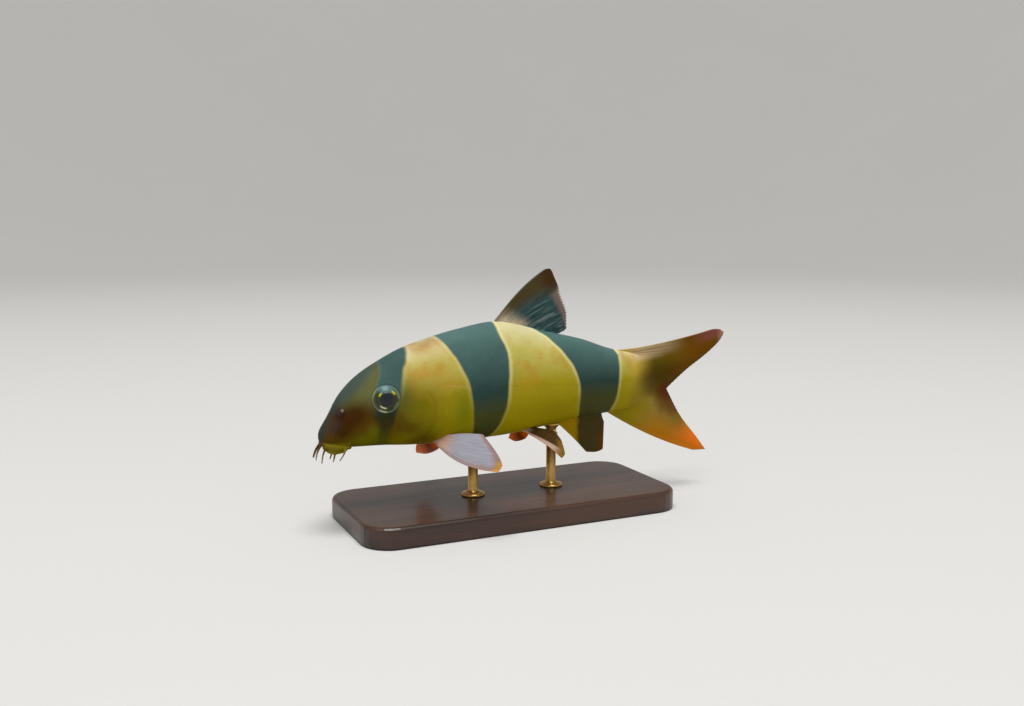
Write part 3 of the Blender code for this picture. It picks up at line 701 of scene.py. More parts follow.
def sculpt(points, normals):
    """Sockets, gill cover, cheek slit and lateral line pressed into the skin."""
    s, y, z = points.T
    push = np.zeros(len(s))
    inside, rear = gill_margin(s, z)
    push += GILL_RELIEF * rear * (ease(inside, -0.1, 0.5) * (1 - ease(inside, 1.0, 6.0))
                                  - np.exp(-((inside + 0.3) / 0.3) ** 2))
    push -= CHEEK_SLIT_DEPTH * np.exp(-(path_distance(s, z, CHEEK_SLIT) / 0.2) ** 2)
    trunk = ease(s, 26.0, 29.0) * (1 - ease(s, 80.0, 86.0))
    off_line = z - smooth(LATERAL_LINE, s)
    push -= LATERAL_LINE_DEPTH * trunk * np.exp(-(off_line / 0.2) ** 2)
    moved = points + normals * push[:, None]
    rim_place, rim_height = SOCKET_RIM
    hole_width, hole_depth = NOSTRIL_HOLE
    for side in (-1, 1):
        local = turn_eye(points - eye_centre(side), side, back=True)
        r = np.hypot(local[:, 0], local[:, 2])
        here = (local[:, 1] * side > -3) & (r < 6) & (y * side > 0)
        sink = -SOCKET_DEPTH * (1 - ease(r, *SOCKET_EDGE))
        sink -= 0.02 * np.exp(-((r - EYE_RADIUS) / 0.14) ** 2)
        sink += rim_height * np.exp(-((r - rim_place) / 0.35) ** 2)
        moved += turn_eye(np.outer(np.where(here, sink, 0), (0, side, 0)), side)
        foot, away = nostril_axis(side)
        from_opening = np.linalg.norm(points - foot - away * NOSTRIL_OPENING, axis=1)
        moved -= np.outer(np.exp(-(from_opening / hole_width) ** 2), away) * hole_depth
    return moved


def skin_fields(points):
    """Where each point lies among the skin's markings, and the height that grades its painted light.
    """
    s, y, z = points.T
    top, bottom, half, widest, _, _ = body_section(s)
    fields = {"height": np.where(z > widest, (z - widest) / (top - widest),
                                 (z - widest) / (widest - bottom))}
    for name, edge in BAND_EDGES.items():
        behind = s - smooth(edge, z)
        fields[name] = behind if name.endswith("front") else -behind
    fields["station"], fields["rise"] = s, z
    fields["strip"] = z - smooth(SNOUT_STRIP, s) - 3 * ease(s, 13.0, 16.0)
    for name, spots in HEAD_SPOTS.items():
        fields[name] = np.clip(sum(spot(s, z, place, spread) for place, spread in spots), 0, 1)
    fields["gill"], fields["gill_rear"] = gill_margin(s, z)
    fields["line"] = np.abs(z - smooth(LATERAL_LINE, s)) + 5 * (1 - ease(s, 26.0, 28.0))
    fields["nostril"] = np.full(len(s), 9.0)
    for side in (-1, 1):
        foot, away = nostril_axis(side)
        tip = np.linalg.norm(points - foot - away * NOSTRIL_TINTED, axis=1)
        fields["nostril"] = np.minimum(fields["nostril"], tip)
    fields["lip"] = ease(-z, 0.35, 0.9) * (1 - ease(s, 6.0, 7.0)) * ease(s + 0.45 * z, 0.1, 0.7)
    fields["barbel"] = ease(-z, 2.0, 3.2) * np.maximum(
        1 - ease(s + 0.4 * z, 0.1, 0.6), ease(np.abs(y), 2.7, 3.1) * (1 - ease(s, 6.0, 6.6)))
    return fields


# Materials

class Number:
    """A number that changes over a surface. Sums with it add Math nodes."""

    def __init__(self, look, socket):
        self.look, self.socket = look, socket

    def maths(self, operation, first, second=0.0):
        return Number(self.look, self.look.node(
            "ShaderNodeMath", {"operation": operation}, {0: first, 1: second}).outputs[0])

    def __add__(self, other):
        return self.maths("ADD", self, other)

    __radd__ = __add__

    def __sub__(self, other):
        return self.maths("SUBTRACT", self, other)

    def __rsub__(self, other):
        return self.maths("SUBTRACT", other, self)

    def __mul__(self, other):
        return self.maths("MULTIPLY", self, other)

    __rmul__ = __mul__

    def __truediv__(self, other):
        return self.maths("DIVIDE", self, other)

    def __rtruediv__(self, other):
        return self.maths("DIVIDE", other, self)

    def __pow__(self, other):
        return self.maths("POWER", self, other)

    def __rpow__(self, other):
        return self.maths("POWER", other, self)

    def __abs__(self):
        return self.maths("ABSOLUTE", self)


class Look:
    """A procedural material, built node by node onto one shader."""

    def __init__(self, name, **constants):
        self.material = bpy.data.materials.new(name)
        self.material.use_nodes = True
        self.tree = self.material.node_tree
        self.shader = self.tree.nodes["Principled BSDF"]
        for socket, value in constants.items():
            self.shader.inputs[socket.replace("_", " ")].default_value = value

    def node(self, kind, settings=None, sockets=None):
        """Add a node: its settings first, then its sockets' values or links."""
        made = self.tree.nodes.new(kind)
        for name, value in (settings or {}).items():
            if name == "stops":
                while len(made.color_ramp.elements) < len(value):
                    made.color_ramp.elements.new(0.5)
                for element, (at, shade) in zip(made.color_ramp.elements, value):
                    element.position = at
                    element.color = (*shade, 1)
            else:
                setattr(made, name, value)
        for key, value in (sockets or {}).items():
            self.set(made.inputs[key], value)
        return made

    def set(self, socket, value):
        if isinstance(value, Number):
            value = value.socket
        if isinstance(value, bpy.types.NodeSocket):
            self.tree.links.new(value, socket)
        elif socket.type == "RGBA":
            socket.default_value = (*tuple(value)[:3], 1)
        else:
            socket.default_value = value

    def feed(self, **sockets):
        """Link what changes over the surface to the shader."""
        for name, value in sockets.items():
            self.set(self.shader.inputs[name.replace("_", " ")], value)
        return self.material

    def field(self, name):
        """A number that the mesh carries at its vertices."""
        return Number(self, self.node("ShaderNodeAttribute", {"attribute_name": name}).outputs["Fac"])

    def place(self, stretch=(1, 1, 1)):
        """The point's place in the row frame, stretched, for a texture."""
        here = self.node("ShaderNodeTexCoord").outputs["Object"]
        return self.node("ShaderNodeVectorMath", {"operation": "MULTIPLY"},
                         {0: here, 1: stretch}).outputs[0]

    def noise(self, scale, detail=2.0, stretch=(1, 1, 1), rough=0.5):
        return Number(self, self.node("ShaderNodeTexNoise", None, {
            "Vector": self.place(stretch), "Scale": scale, "Detail": detail,
            "Roughness": rough}).outputs["Fac"])

    def fade(self, value, low, high):
        """0 at low, 1 at high, eased between; low may be above high."""
        return Number(self, self.node(
            "ShaderNodeMapRange", {"interpolation_type": "SMOOTHSTEP"},
            {"Value": value, "From Min": low, "From Max": high}).outputs["Result"])

    def ramp(self, value, *stops):
        return self.node("ShaderNodeValToRGB", {"stops": stops}, {0: value}).outputs["Color"]

    def blend(self, below, above, mask):
        """One colour over another, as much as the mask says."""
        return self.node("ShaderNodeMix", {"data_type": "RGBA"},
                         {0: mask, 6: below, 7: above}).outputs[2]

    def layers(self, base, *layers):
        """Several colours over another, each as much as its own mask says."""
        for tint, mask in layers:
            base = self.blend(base, tint, mask)
        return base

    def shade(self, base, amount):
        """Brighten or darken a colour by a number around 1."""
        return self.node("ShaderNodeVectorMath", {"operation": "SCALE"},
                         {0: base, "Scale": amount}).outputs[0]

    def bump(self, height, distance):
        return self.node("ShaderNodeBump", None, {
            "Height": height, "Strength": 1.0, "Distance": distance}).outputs["Normal"]


def gold_layers(look, c, fins):
    """Gold of the body, graded by height as painted top light and belly shade, with the tail's
    colours over its end.
    """
    # Painted light from above: pale gold on the back, deep gold in the belly's shade.
    gold = look.ramp(look.level, (0.05, c.gold_belly_shaded), (0.33, c.gold_belly_shaded), (0.55, c.gold_side),
                     (0.8, c.gold_upper_lit), (0.95, c.gold_back_lit))
    gold = look.shade(gold, 1 + look.cloud * 0.3)
    warm = look.fade(look.noise(210, 3) + look.field("height") * 0.05, 0.5, 0.72)
    gold = look.layers(
        gold,
        (c.shoulder, warm * look.fade(look.height, -0.3, 0.4) * 0.5),
        (c.green, look.field("green") * 0.7),
        (c.shoulder, look.field("tan") * look.fade(look.cloud, -0.2, 0.2) * 0.75))
    return tail_tint(look, fins, gold)


def head_layers(look, c, skin):
    """Olive snout and cheek, red-brown flush, blue-grey strip on top."""
    station, rise, wander = look.station, look.rise, look.wander
    snout = look.layers(
        c.cheek,
        (c.snout_low, look.fade(rise + wander * 1.5, 9.5, 4.0)),
        (c.pale, look.field("pale") * 0.45),
        (c.green, look.field("green") * 0.6))
    cover = look.fade(station + wander * 2, 33.0, 21.0) * look.fade(rise + wander * 2, 15.0, 7.0)
    strip = look.fade(look.field("strip") + wander * 1.4, -1.7, 1.7)
    brow = look.shade(c.brow, 1 - look.fade(station, 6.0, 2.0) * 0.45)
    return look.layers(
        skin,
        (c.cover, cover * 0.9),
        (c.shade, look.field("shade") * 0.75),
        (c.nape, look.field("nape") * look.fade(look.cloud, -0.35, 0.15) * 0.8),
        (c.blotch, look.field("blotch") * 0.75),
        (snout, look.fade(station + wander * 2, 18.5, 14.5)),
        (c.snout_flush, look.field("flush") * 0.85),
        (c.dusk, look.field("dusk") * 0.75),
        (brow, strip * look.fade(station, 16.5, 12.0) * 0.9),
        (c.snout_violet, look.field("violet") * 0.75))


def band_layers(look, c, skin):
    """Three dark bands, paler slate on top as a painted sheen, with a pale line just outside their
    edges.
    """
    rise = look.rise
    # Painted sheen: the bands turn paler slate towards the back, where the top light falls.
    band = look.ramp(look.level, (0.05, c.band_belly), (0.32, c.band_belly),
                     (0.52, c.band_side), (0.95, c.band_back_sheen))
    band = look.shade(band, 1 + look.cloud * 0.4)
    upper = look.fade(rise, 3.0, 15.0)
    # Strength of the line before and behind each band, softness of its edges.
    rims = {"head": (0.0, upper * look.fade(rise, 7.0, 12.0) * 0.12, 0.5),
            "waist": (upper * 0.18, upper * 0.36 + 0.08, 0.4),
            "tail": (upper * 0.4 + 0.05, upper * 0.22 + 0.15, 0.4)}
    for name, (front_rim, rear_rim, soft) in rims.items():
        front, rear = (look.field(name + end) + look.wander * 0.35 for end in ("_front", "_rear"))
        for near, other, strength in ((front, rear, front_rim), (rear, front, rear_rim)):
            beside = look.fade(near, -1.25, -0.35) * look.fade(other, -0.35, 0.3)
            skin = look.blend(skin, c.rim, beside * strength)
        dark = look.fade(front, -soft, soft) * look.fade(rear, -soft, soft)
        skin = look.blend(skin, band, dark)
        if name == "head":
            below = look.blend(c.under_eye, c.green, look.fade(rise, 3.5, -1.0) * 0.4)
            skin = look.blend(skin, below, dark * look.fade(rise, 7.5, 4.5) * 0.9)
            skin = look.shade(skin, 1 - dark * look.fade(rise, 12.5, 17.5) * 0.35)
    return skin


def opening_layers(look, c, skin):
    """Gill opening and nostril holes with painted shade, lateral line, lips, feelers and nostrils."""
    # Painted shade: the skin darkened along the gill opening.
    opening = look.fade(abs(look.field("gill") + 0.3), 0.6, 0.1) * look.field("gill_rear")
    skin = look.shade(skin, 1 - opening * 0.08)
    line = look.fade(look.field("line") + look.wander * 0.4, 0.45, 0.0)
    skin = look.blend(skin, c.rim, line * look.fade(look.station, 36.0, 31.0) * 0.06)
    skin = look.shade(skin, 1 - line * look.fade(look.station, 33.0, 40.0) * 0.05)
    nostril = look.field("nostril")
    skin = look.layers(
        skin,
        (c.lips, look.field("lip") * 0.85),
        (c.barbels, look.field("barbel") * 0.85),
        (c.nostril, look.fade(nostril, 0.8, 0.35) * 0.85))
    # Painted shade in the nostril's hole.
    return look.shade(skin, 1 - look.fade(nostril, 0.22, 0.1) * 0.5)


def skin_material(c, fins):
    look = Look("loach_skin", Subsurface_Weight=0.12, Subsurface_Radius=(1.0, 0.5, 0.2),
                Subsurface_Scale=0.0012, Specular_IOR_Level=0.045)
    look.wander = look.noise(420, 3) - 0.5
    look.cloud = look.noise(150, 4, rough=0.6) - 0.5
    # Height on the side, which grades the painted light in the gold and the bands.
    look.height = look.field("height") + look.wander * 0.12 + look.cloud * 0.1
    look.level = (look.height + 1.1) / 2.2
    look.station, look.rise = look.field("station"), look.field("rise")
    skin = gold_layers(look, c, fins)
    for paint in (head_layers, band_layers, opening_layers):
        skin = paint(look, c, skin)

    # Fine mottling and minute scales.
    grain = look.noise(2600, 3, rough=0.65)
    skin = look.shade(skin, 0.84 + grain * 0.32)
    cells = Number(look, look.node(
        "ShaderNodeTexVoronoi", {"feature": "SMOOTH_F1"},
        {"Vector": look.place((1, 1, 1.3)), "Scale": 2400, "Smoothness": 0.6}).outputs["Distance"])
    scaled = look.fade(look.station, 16.0, 26.0)
    return look.feed(Base_Color=skin, Roughness=0.4 + grain * 0.12,
                     Normal=look.bump(cells * scaled + grain * 0.7, c.scale_relief))


def tail_tint(look, c, base):
    """Colours of the tail over a base colour, shared by skin and tail fin."""
    station, rise, fade = look.station, look.rise, look.fade
    wander = look.noise(300, 3) - 0.5
    s, z = station + wander * 2.0, rise + wander * 1.6

    def patch(place, spread):
        """1 at a place, falling off over its spread."""
        far = ((s - place[0]) / spread[0]) ** 2 + ((z - place[1]) / spread[1]) ** 2
        return fade(far, 1.9, 0.0)

    root = look.blend(c.tail_root_low, c.tail_root, fade(z, 3.0, 13.5))
    middle = look.blend(c.tail_lower_web, c.tail_web, fade(z, 3.0, 9.0))
    above_edge = z + (s - 73.6) * 0.48 - 0.75
    inside_fork = 92.0 - (z - 5.0) * 0.62 - s
    below_top = (s - 84.0) * 0.165 + 16.0 - z
    lead = fade(below_top, 4.2, 1.4) * fade(s, 99.0, 84.0) * fade(s, 79.0, 83.0)
    return look.layers(
        base,
        (root, fade(s, 79.0, 82.0)),
        (middle, fade(s, 79.5, 89.0)),
        (c.tail_lower_edge, fade(above_edge, 7.5, 0.5) * fade(s, 80.0, 92.0)),
        (c.tail_smudge, patch((93.0, 7.2), (9.5, 4.5)) * 0.8),
        (c.tail_notch, patch((93.2, 2.4), (4.8, 4.2)) * 0.62),
        (c.tail_upper_web, fade(s, 89.0, 102.0) * fade(z, 6.0, 10.0)),
        (c.tail_notch, fade(inside_fork, 6.0, 0.5) * fade(z, -8.0, -2.0) * fade(z, 6.0, 3.0) * 0.5),
        (c.tail_notch, patch((92.0, 4.6), (2.8, 2.2)) * 0.6),
        (c.tail_streak, lead * 0.85),
        (c.tail_upper_tip, fade(s, 98.0, 105.5) * fade(below_top, 3.6, 0.8)),
        (c.tail_upper_tip, fade(s + z, 123.0, 129.0) * 0.7),
        (c.tail_lower_tip, fade(s - z, 97.0, 111.0) * fade(z, 1.0, -6.0)))


# Fins

def fin_points(fin, u, v):
    """Points u of the way from base to margin on rays v, as grids."""
    base, edge = along(fin["base"], v ** fin["fan"]), along(fin["margin"], v)
    bow = np.multiply.outer(1 - v, fin["bow_front"]) + np.multiply.outer(v, fin["bow_rear"])
    u = u[..., None]
    return base + (edge - base) * u + bow * 4 * u * (1 - u) * (u > 0)


def ray_ridges(u, v, rays):
    """Height of the rays, 0 to 1. Each forks, and forks again near its tip."""
    place = v * rays
    phase = place - np.floor(place) - 0.5
    first = 0.2 * ease(u, 0.3, 0.75)
    second = 0.09 * ease(u, 0.6, 1.0)
    width = 0.2 - 0.13 * ease(u, 0.1, 0.8)
    ridge = np.zeros(u.shape)
    for a in (-1, 1):
        for b in (-1, 1):
            ridge = np.maximum(ridge, np.exp(-((phase - a * first - b * second) / width) ** 2))
    lead = np.exp(-(place / 0.5) ** 2)
    last = 0.7 * np.exp(-((rays - place) / 0.35) ** 2)
    return np.maximum.reduce([ridge, lead, last])


def sheet_edge(rows, columns):
    """Numbers of the points round the edge of a grid of points, in order."""
    across = columns - 1
    loop = ([(0, k) for k in range(across)] + [(i, across) for i in range(rows - 1)]
            + [(rows - 1, k) for k in range(across, 0, -1)]
            + [(i, 0) for i in range(rows - 1, 0, -1)])
    return [i * columns + k for i, k in loop]


def fin_sheet(fin, web, ray):
    """A closed plate with raised rays: points, faces and fields."""
    columns = fin["rays"] * COLUMNS_PER_RAY + 1
    rows = LONG_RAY_ROWS if fin["ray"] > LONG_RAY else SHORT_RAY_ROWS
    v, grade = np.meshgrid(np.linspace(0, 1, columns), np.linspace(0, 1, rows), indexing="xy")
    root = -FIN_ROOT_DEPTH / fin["ray"]
    notch = 0.5 + 0.5 * np.cos(4 * math.pi * v * fin["rays"])
    first = fin["toothed_from"]
    length_here = np.linalg.norm(fin_points(fin, v * 0 + 1, v) - fin_points(fin, v * 0, v), axis=-1)
    cut = fin["scallop"] * notch * ease(v, first, first + 0.1) * (v < 0.99)
    cut = cut * fin["ray"] / length_here
    u = root + (1 - cut - root) * grade
    middle = fin_points(fin, u, v)
    du = fin_points(fin, u + 0.01, v) - fin_points(fin, u - 0.01, v)
    dv = (fin_points(fin, u, np.clip(v + 0.02, 0, 1))
          - fin_points(fin, u, np.clip(v - 0.02, 0, 1)))
    normal = np.cross(du, dv)
    normal /= np.linalg.norm(normal, axis=-1)[..., None]
    far = np.clip(u, 0, 1)
    sway = fin["sway"] * np.sin(3.1 * v + 4.2 * far) * ease(u, 0.15, 1.0) * 1.6
    if fin["joined"]:
        sway = sway * ease(1 - v, 0.0, 0.5)
    middle = middle + normal * sway[..., None]
    ridge = ray_ridges(u, v, fin["rays"])
    fleshy, spread = fin["flesh"]
    flesh = fleshy * np.exp(-((far * fin["ray"]) / spread) ** 2)
    rim = 1 - ease(grade, 0.985, 1.0) * 0.6
    thick = (web + ray * fin["relief"] * ridge * (1 - 0.8 * far) + flesh) * rim
    half = normal * thick[..., None] / 2
    points = np.concatenate(((middle + half).reshape(-1, 3), (middle - half).reshape(-1, 3)))
    count = rows * columns
    faces = grid_faces(rows, columns)
    faces += [face[::-1] for face in grid_faces(rows, columns, first=count)]
    at = sheet_edge(rows, columns)
    faces += [[b, a, a + count, b + count] for a, b in zip(at, at[1:] + at[:1])]
    upward = np.sign(normal[..., 2].mean() or 1)
    fields = {
        "reach": np.tile(u.ravel(), 2), "across": np.tile(v.ravel(), 2),
        "ray": np.tile(ridge.ravel(), 2), "station": points[:, 0], "rise": points[:, 2],
        "under": np.repeat((0.5 - upward / 2, 0.5 + upward / 2), count),
    }
    return points, faces, fields


def fin_look(name, web_alpha):
    """A fin's material with what its colours are worked out from."""
    look = Look(name, Subsurface_Weight=0.2, Subsurface_Radius=(1.0, 0.6, 0.4),
                Subsurface_Scale=0.0006, Specular_IOR_Level=0.03)
    for field in ("reach", "across", "ray", "station", "rise"):
        setattr(look, field, look.field(field))
    look.wander = look.noise(520, 3) - 0.5
    look.web_alpha = web_alpha
    return look


def streaks(look, fine, long):
    """Noise drawn out along the rays of a fin."""
    fan = look.node("ShaderNodeCombineXYZ", None,
                    {0: look.reach * long, 1: look.across * fine, 2: 0.37 * fine}).outputs[0]
    return Number(look, look.node("ShaderNodeTexNoise", None, {
        "Vector": fan, "Scale": 1.0, "Detail": 2.0, "Roughness": 0.55}).outputs["Fac"])


def finish_fin(look, base, ray_light, streaky, clear_from=0.1, solid=0.0):
    """Rays lighter than the web, fine streaks along them, and a clear web."""
    grain = look.noise(3000, 2)
    fine = streaks(look, 90.0, 3.0)
    amount = (look.ray * (ray_light - 1) + 1) * (1 + (fine - 0.5) * streaky)
    base = look.shade(base, amount * (0.9 + grain * 0.2))
    clear = look.fade(look.reach + look.wander * 0.1, clear_from, 0.8) * (1 - look.ray * 0.6)
    alpha = 1 - clear * (1 - look.web_alpha) * (1 - solid)
    normal = look.bump(look.ray * 0.5 + fine * 0.6 + grain * 0.2, 0.00003)
    return look.feed(Base_Color=base, Roughness=0.42 + grain * 0.14, Alpha=alpha, Normal=normal)


def dorsal_material(c):
    look = fin_look("dorsal_web", 0.92)
    reach, across, wander, fade = look.reach, look.across, look.wander, look.fade
    place = across + wander * 0.12
    rear, hind = fade(place, 0.26, 0.5), fade(place, 0.34, 0.46)
    streak = fade(streaks(look, 34.0, 2.2), 0.5, 0.66)
    shadow = fade(streaks(look, 48.0, 1.6), 0.5, 0.36)
    tip = fade(reach + wander * 0.2, 0.7, 0.95) * fade(place, 0.5, 0.25)
    root = fade(reach + wander * 0.12 + streak * 0.05, 0.31, 0.04)
    base = look.blend(c.dorsal_web, c.dorsal_front, fade(place - reach * 0.12, 0.4, 0.1))
    base = look.layers(
        look.shade(base, 1 - shadow * rear * 0.5),
        (c.dorsal_streak_and_highlight, streak * rear * fade(reach, 0.88, 0.6) * 0.62),
        (c.dorsal_tip, tip * 0.85),
        (c.dorsal_rim, fade(reach + wander * 0.1, 0.76, 0.89) * hind * 0.85),
        (c.dorsal_root, fade(reach, 0.93, 0.98) * hind * 0.55),
        (c.dorsal_root, root * fade(place, 0.72, 0.5) * fade(place, -0.1, 0.3) * 0.9),
        # Painted highlight: a pale line along the leading ray.
        (c.dorsal_streak_and_highlight, fade(across, 0.035, 0.012) * 0.7))
    return finish_fin(look, base, 1.1, 0.35)


def tail_material(c, lower):
    look = fin_look("tail_web_lower" if lower else "tail_web_upper", 0.97)
    across, station, fade = look.across, look.station, look.fade
    base = tail_tint(look, c, c.tail_root_low if lower else c.tail_root)
    if lower:
        base = look.layers(
            base,
            (c.tail_lower_edge, fade(across, 0.3, 0.06) * fade(station, 80.0, 88.0) * 0.7),
            # Olive gold at the lower lobe's root: partly its own deeper gold, partly painted shade
            # matching the shaded skin beside it.
            (c.tail_root_low, fade(look.reach, 0.4, 0.0) * 0.75))
    else:
        streak = fade(streaks(look, 130.0, 1.0), 0.62, 0.42)
        lead = fade(across, 0.5, 0.2) * fade(station, 97.0, 86.0)
        base = look.layers(
            base,
            (c.tail_web, streak * lead * 0.85),
            (c.tail_streak, fade(across, 0.04, 0.012) * 0.45),
            (c.tail_streak, fade(station, 106.5, 109.4) * 0.3))
    return finish_fin(look, base, 1.02, 0.16, 0.35)


def anal_material(c):
    look = fin_look("anal_web", 0.98)
    s, z = look.station + look.wander * 0.8, look.rise + look.wander
    base = look.layers(
        c.anal_root,
        (c.anal_web, look.fade(s, 65.0, 66.6)),
        (c.anal_tip, look.fade(s, 70.5, 73.4) * look.fade(z, -2.5, -7.0) * 0.8))
    return finish_fin(look, base, 1.1, 0.25)


def finish_paired_fin(look, c, base, ray_light, streaky):
    """Orange red on the lower face of a paired fin, with painted shade darkening its middle."""
    under = look.field("under")
    # Painted shade: the lower face's middle darkened to dark red.
    dark = look.fade(abs(look.across + look.wander * 0.2 - 0.45), 0.35, 0.0)
    below = look.blend(c.under, c.under_shade, dark * look.fade(look.reach, 0.0, 0.4) * 0.8)
    return finish_fin(look, look.blend(base, below, under), ray_light, streaky, solid=under)


def breast_material(c):
    look = fin_look("breast_web", 0.9)
    reach, across, wander, fade = look.reach, look.across, look.wander, look.fade
    base = look.layers(
        c.breast_root,
        # Upper face: the fin's pinkish lavender with a painted silver sheen.
        (c.breast_web, fade(reach + wander * 0.15, 0.05, 0.34)),
        (c.breast_rim, fade(reach + wander * 0.06, 0.84, 0.97) * 0.85),
        (c.breast_rim, fade(across + wander * 0.06, 0.16, 0.0) * 0.75),
        (c.breast_tip, fade(reach, 0.86, 0.97) * fade(across, 0.34, 0.12)))
    return finish_paired_fin(look, c, base, 1.16, 0.95)


def pelvic_material(c):
    look = fin_look("pelvic_web", 0.92)
    reach, across, wander, fade = look.reach, look.across, look.wander, look.fade
    band = fade(across + wander * 0.05 - reach * 0.16, 0.16, 0.06)
    base = look.layers(
        c.pelvic_web,
        (c.pelvic_tip, fade(reach + wander * 0.1, 0.74, 0.9) * fade(across, 0.7, 0.4)),
        (c.pelvic_root, band * fade(reach, 0.92, 0.7) * 0.9),
        (c.pelvic_root, fade(reach, 0.16, 0.0) * fade(across, 0.7, 0.4) * 0.6))
    return finish_paired_fin(look, c, base, 1.15, 0.3)


# Eyes

def eye_shape(side):
    """Points, faces and fields of an eye, its axis turned as the head's."""
    polar = np.concatenate((np.linspace(0.5, 100, 90), np.linspace(104, 179, 14)))
    polar = np.radians(polar)[:, None]
    angle = np.linspace(0, 2 * math.pi, 96, endpoint=False)[None, :]
    disc = np.sin(polar) + 0 * angle
    depth = EYE_HALF_DEPTH * np.cos(polar) + 0 * angle
    r = disc * EYE_RADIUS
    front = (polar < math.pi / 2) + 0 * angle
    place, width, groove = EYE_GROOVE
    depth = depth + front * (EYE_LENS_HEIGHT * (1 - ease(r, *EYE_LENS))
                             - groove * np.exp(-((r - place) / width) ** 2))
    points = np.stack((r * np.cos(angle), side * depth, r * np.sin(angle)), axis=-1)
    points, faces = closed_tube(points)
    if side < 0:
        faces = [face[::-1] for face in faces]
    fields = {"disc": r + (1 - front) * 3, "turn_x": np.cos(angle) + 0 * r,
              "turn_z": np.sin(angle) + 0 * r}
    return turn_eye(points, side) + eye_centre(side), faces, fields


def eye_material(c):
    look = Look("eye_glass", Specular_IOR_Level=0.2, Coat_Weight=0.12, Coat_Roughness=0.03,
                Roughness=0.3)
    disc, x, z = (look.field(f) for f in ("disc", "turn_x", "turn_z"))
    flecks = look.noise(1500, 3)
    pupil = c.pupil / MM
    base = look.layers(
        c.iris,
        # The eye's own pale outer ring, made strong at the rim partly as painted light to lift the
        # shade on the eye's steep edge.
        (c.ring, look.fade(disc + flecks * 0.2, 2.88, 3.06) * 0.9),
        (c.ring, look.fade(abs(disc - 2.62), 0.2, 0.0) * 0.2))

    def arc(angle, width):
        """1 towards an angle round the eye, falling off to both sides."""
        facing = x * math.cos(math.radians(angle)) + z * math.sin(math.radians(angle))
        return look.fade(facing, math.cos(math.radians(width)), 1.0)

    # Arcs on the iris: tint, angle, half width, inner and outer radius, strength.
    for tint, angle, width, near, far, strength in (
            (c.gold, 142, 21, pupil + 0.1, 1.95, 0.9), (c.gold, 44, 22, 1.9, 2.35, 0.95),
            (c.glint, 246, 30, 1.9, 2.15, 1.0), (c.glint, 254, 24, 2.72, 3.0, 0.7),
            (c.ring, -35, 24, 2.3, 3.0, 0.4), (c.ring, 20, 24, 2.45, 2.85, 0.45)):
        ring = look.fade(disc, near - 0.12, near + 0.12) * look.fade(disc, far + 0.2, far - 0.15)
        base = look.blend(base, tint, ring * arc(angle, width) * strength)
    base = look.layers(
        base,
        (c.veil, arc(92, 58) * look.fade(disc, pupil - 0.3, pupil + 0.5) * 0.95),
        (c.pupil_tint, look.fade(disc + flecks * 0.1, pupil + 0.12, pupil - 0.06)))
    return look.feed(Base_Color=look.shade(base, 0.8 + flecks * 0.4))


# Stand

# Turned post: radius, in post radii, at a height in mm above the foot or, in
# the second list, below the top; and how far the top rises over the rod's.
POST_FOOT = ((0.46, 0), (2.3, 0), (2.392, 0.25), (2.3, 0.55), (1.84, 0.75), (1.25, 1.0), (1.0, 1.5))
POST_HEAD = ((1.0, 3.6), (1.3, 3.3), (1.36, 3.0), (1.3, 2.7), (1.0, 2.4), (1.1, 1.6),
             (1.75, 0.7), (1.85, 0.3), (1.6, 0), (0.9, 0.25), (0.2, 0.35))
POST_RISE = 0.5


def post_shape(centre_x, foot, top, radius):
    """A turned post: foot collar, shaft, ring and small cup, in metres."""
    profile = [(r, foot + up * MM) for r, up in POST_FOOT]
    profile += [(r, top - down * MM) for r, down in POST_HEAD]
    angle = np.linspace(0, 2 * math.pi, 48, endpoint=False)
    circle = np.column_stack((np.cos(angle), np.sin(angle), 0 * angle))
    rings = [circle * r * radius + (centre_x, 0, height) for r, height in profile]
    return closed_tube(np.array(rings))


def wood_material(c):
    look = Look("dark_wood", Coat_Weight=0.35, Coat_Roughness=0.18, Specular_IOR_Level=0.4)
    warp = look.noise(60, 3)
    grain = look.noise(160, 5, stretch=(0.12, 1, 1.6), rough=0.62)
    fine = look.noise(900, 3, stretch=(0.05, 1, 1), rough=0.7)
    streak = look.fade(grain + warp * 0.2 + fine * 0.15, 0.45, 0.85)
    base = look.shade(look.blend(c.wood_grain, c.wood, streak), 0.85 + fine * 0.35)
    return look.feed(Base_Color=base, Roughness=0.34 + fine * 0.2,
                     Normal=look.bump(fine + grain, 0.00004))


def brass_material(c):
    look = Look("aged_brass", Metallic=1.0)
    smear = look.noise(500, 4)
    turned = look.noise(1200, 2, stretch=(0.2, 0.2, 6))
    base = look.blend(c.brass, c.brass_dull, look.fade(smear, 0.55, 0.75) * 0.5)
    base = look.shade(base, 0.88 + turned * 0.2)
    return look.feed(Base_Color=base, Roughness=0.2 + smear * 0.16 + turned * 0.08,
                     Normal=look.bump(turned, 0.00001))


# Operators, panel and main

def settle(piece, material, slot_name, *nodes):
    """Give a piece its material, join it to the root and hide the nodes that it stands for; its slot
    name is not used.
    """
    piece.data.materials.append(material)
    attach(piece, "root")
    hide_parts(*nodes)


class LOACH_OT_skin(bpy.types.Operator):
    """Build the skin that stands for all the flesh"""
    bl_idname = "loach.skin"
    bl_label = "Skin"

    def execute(self, context):
        settings = context.scene.loach_skin
        points, quads, edges = fused_flesh(settings.voxel / MM)
        points = unswollen(relax(points, edges, ROUNDS_BEFORE))
        points = sculpt(points, normals_of(points, quads))
        points = relax(points, edges, ROUNDS_AFTER)
        skin = add_piece("loach_skin", to_frame(points), quads.tolist(), skin_fields(points))
        settle(skin, skin_material(settings, context.scene.loach_fins), "skin_gold", *FLESH_NODES)
        return {"FINISHED"}


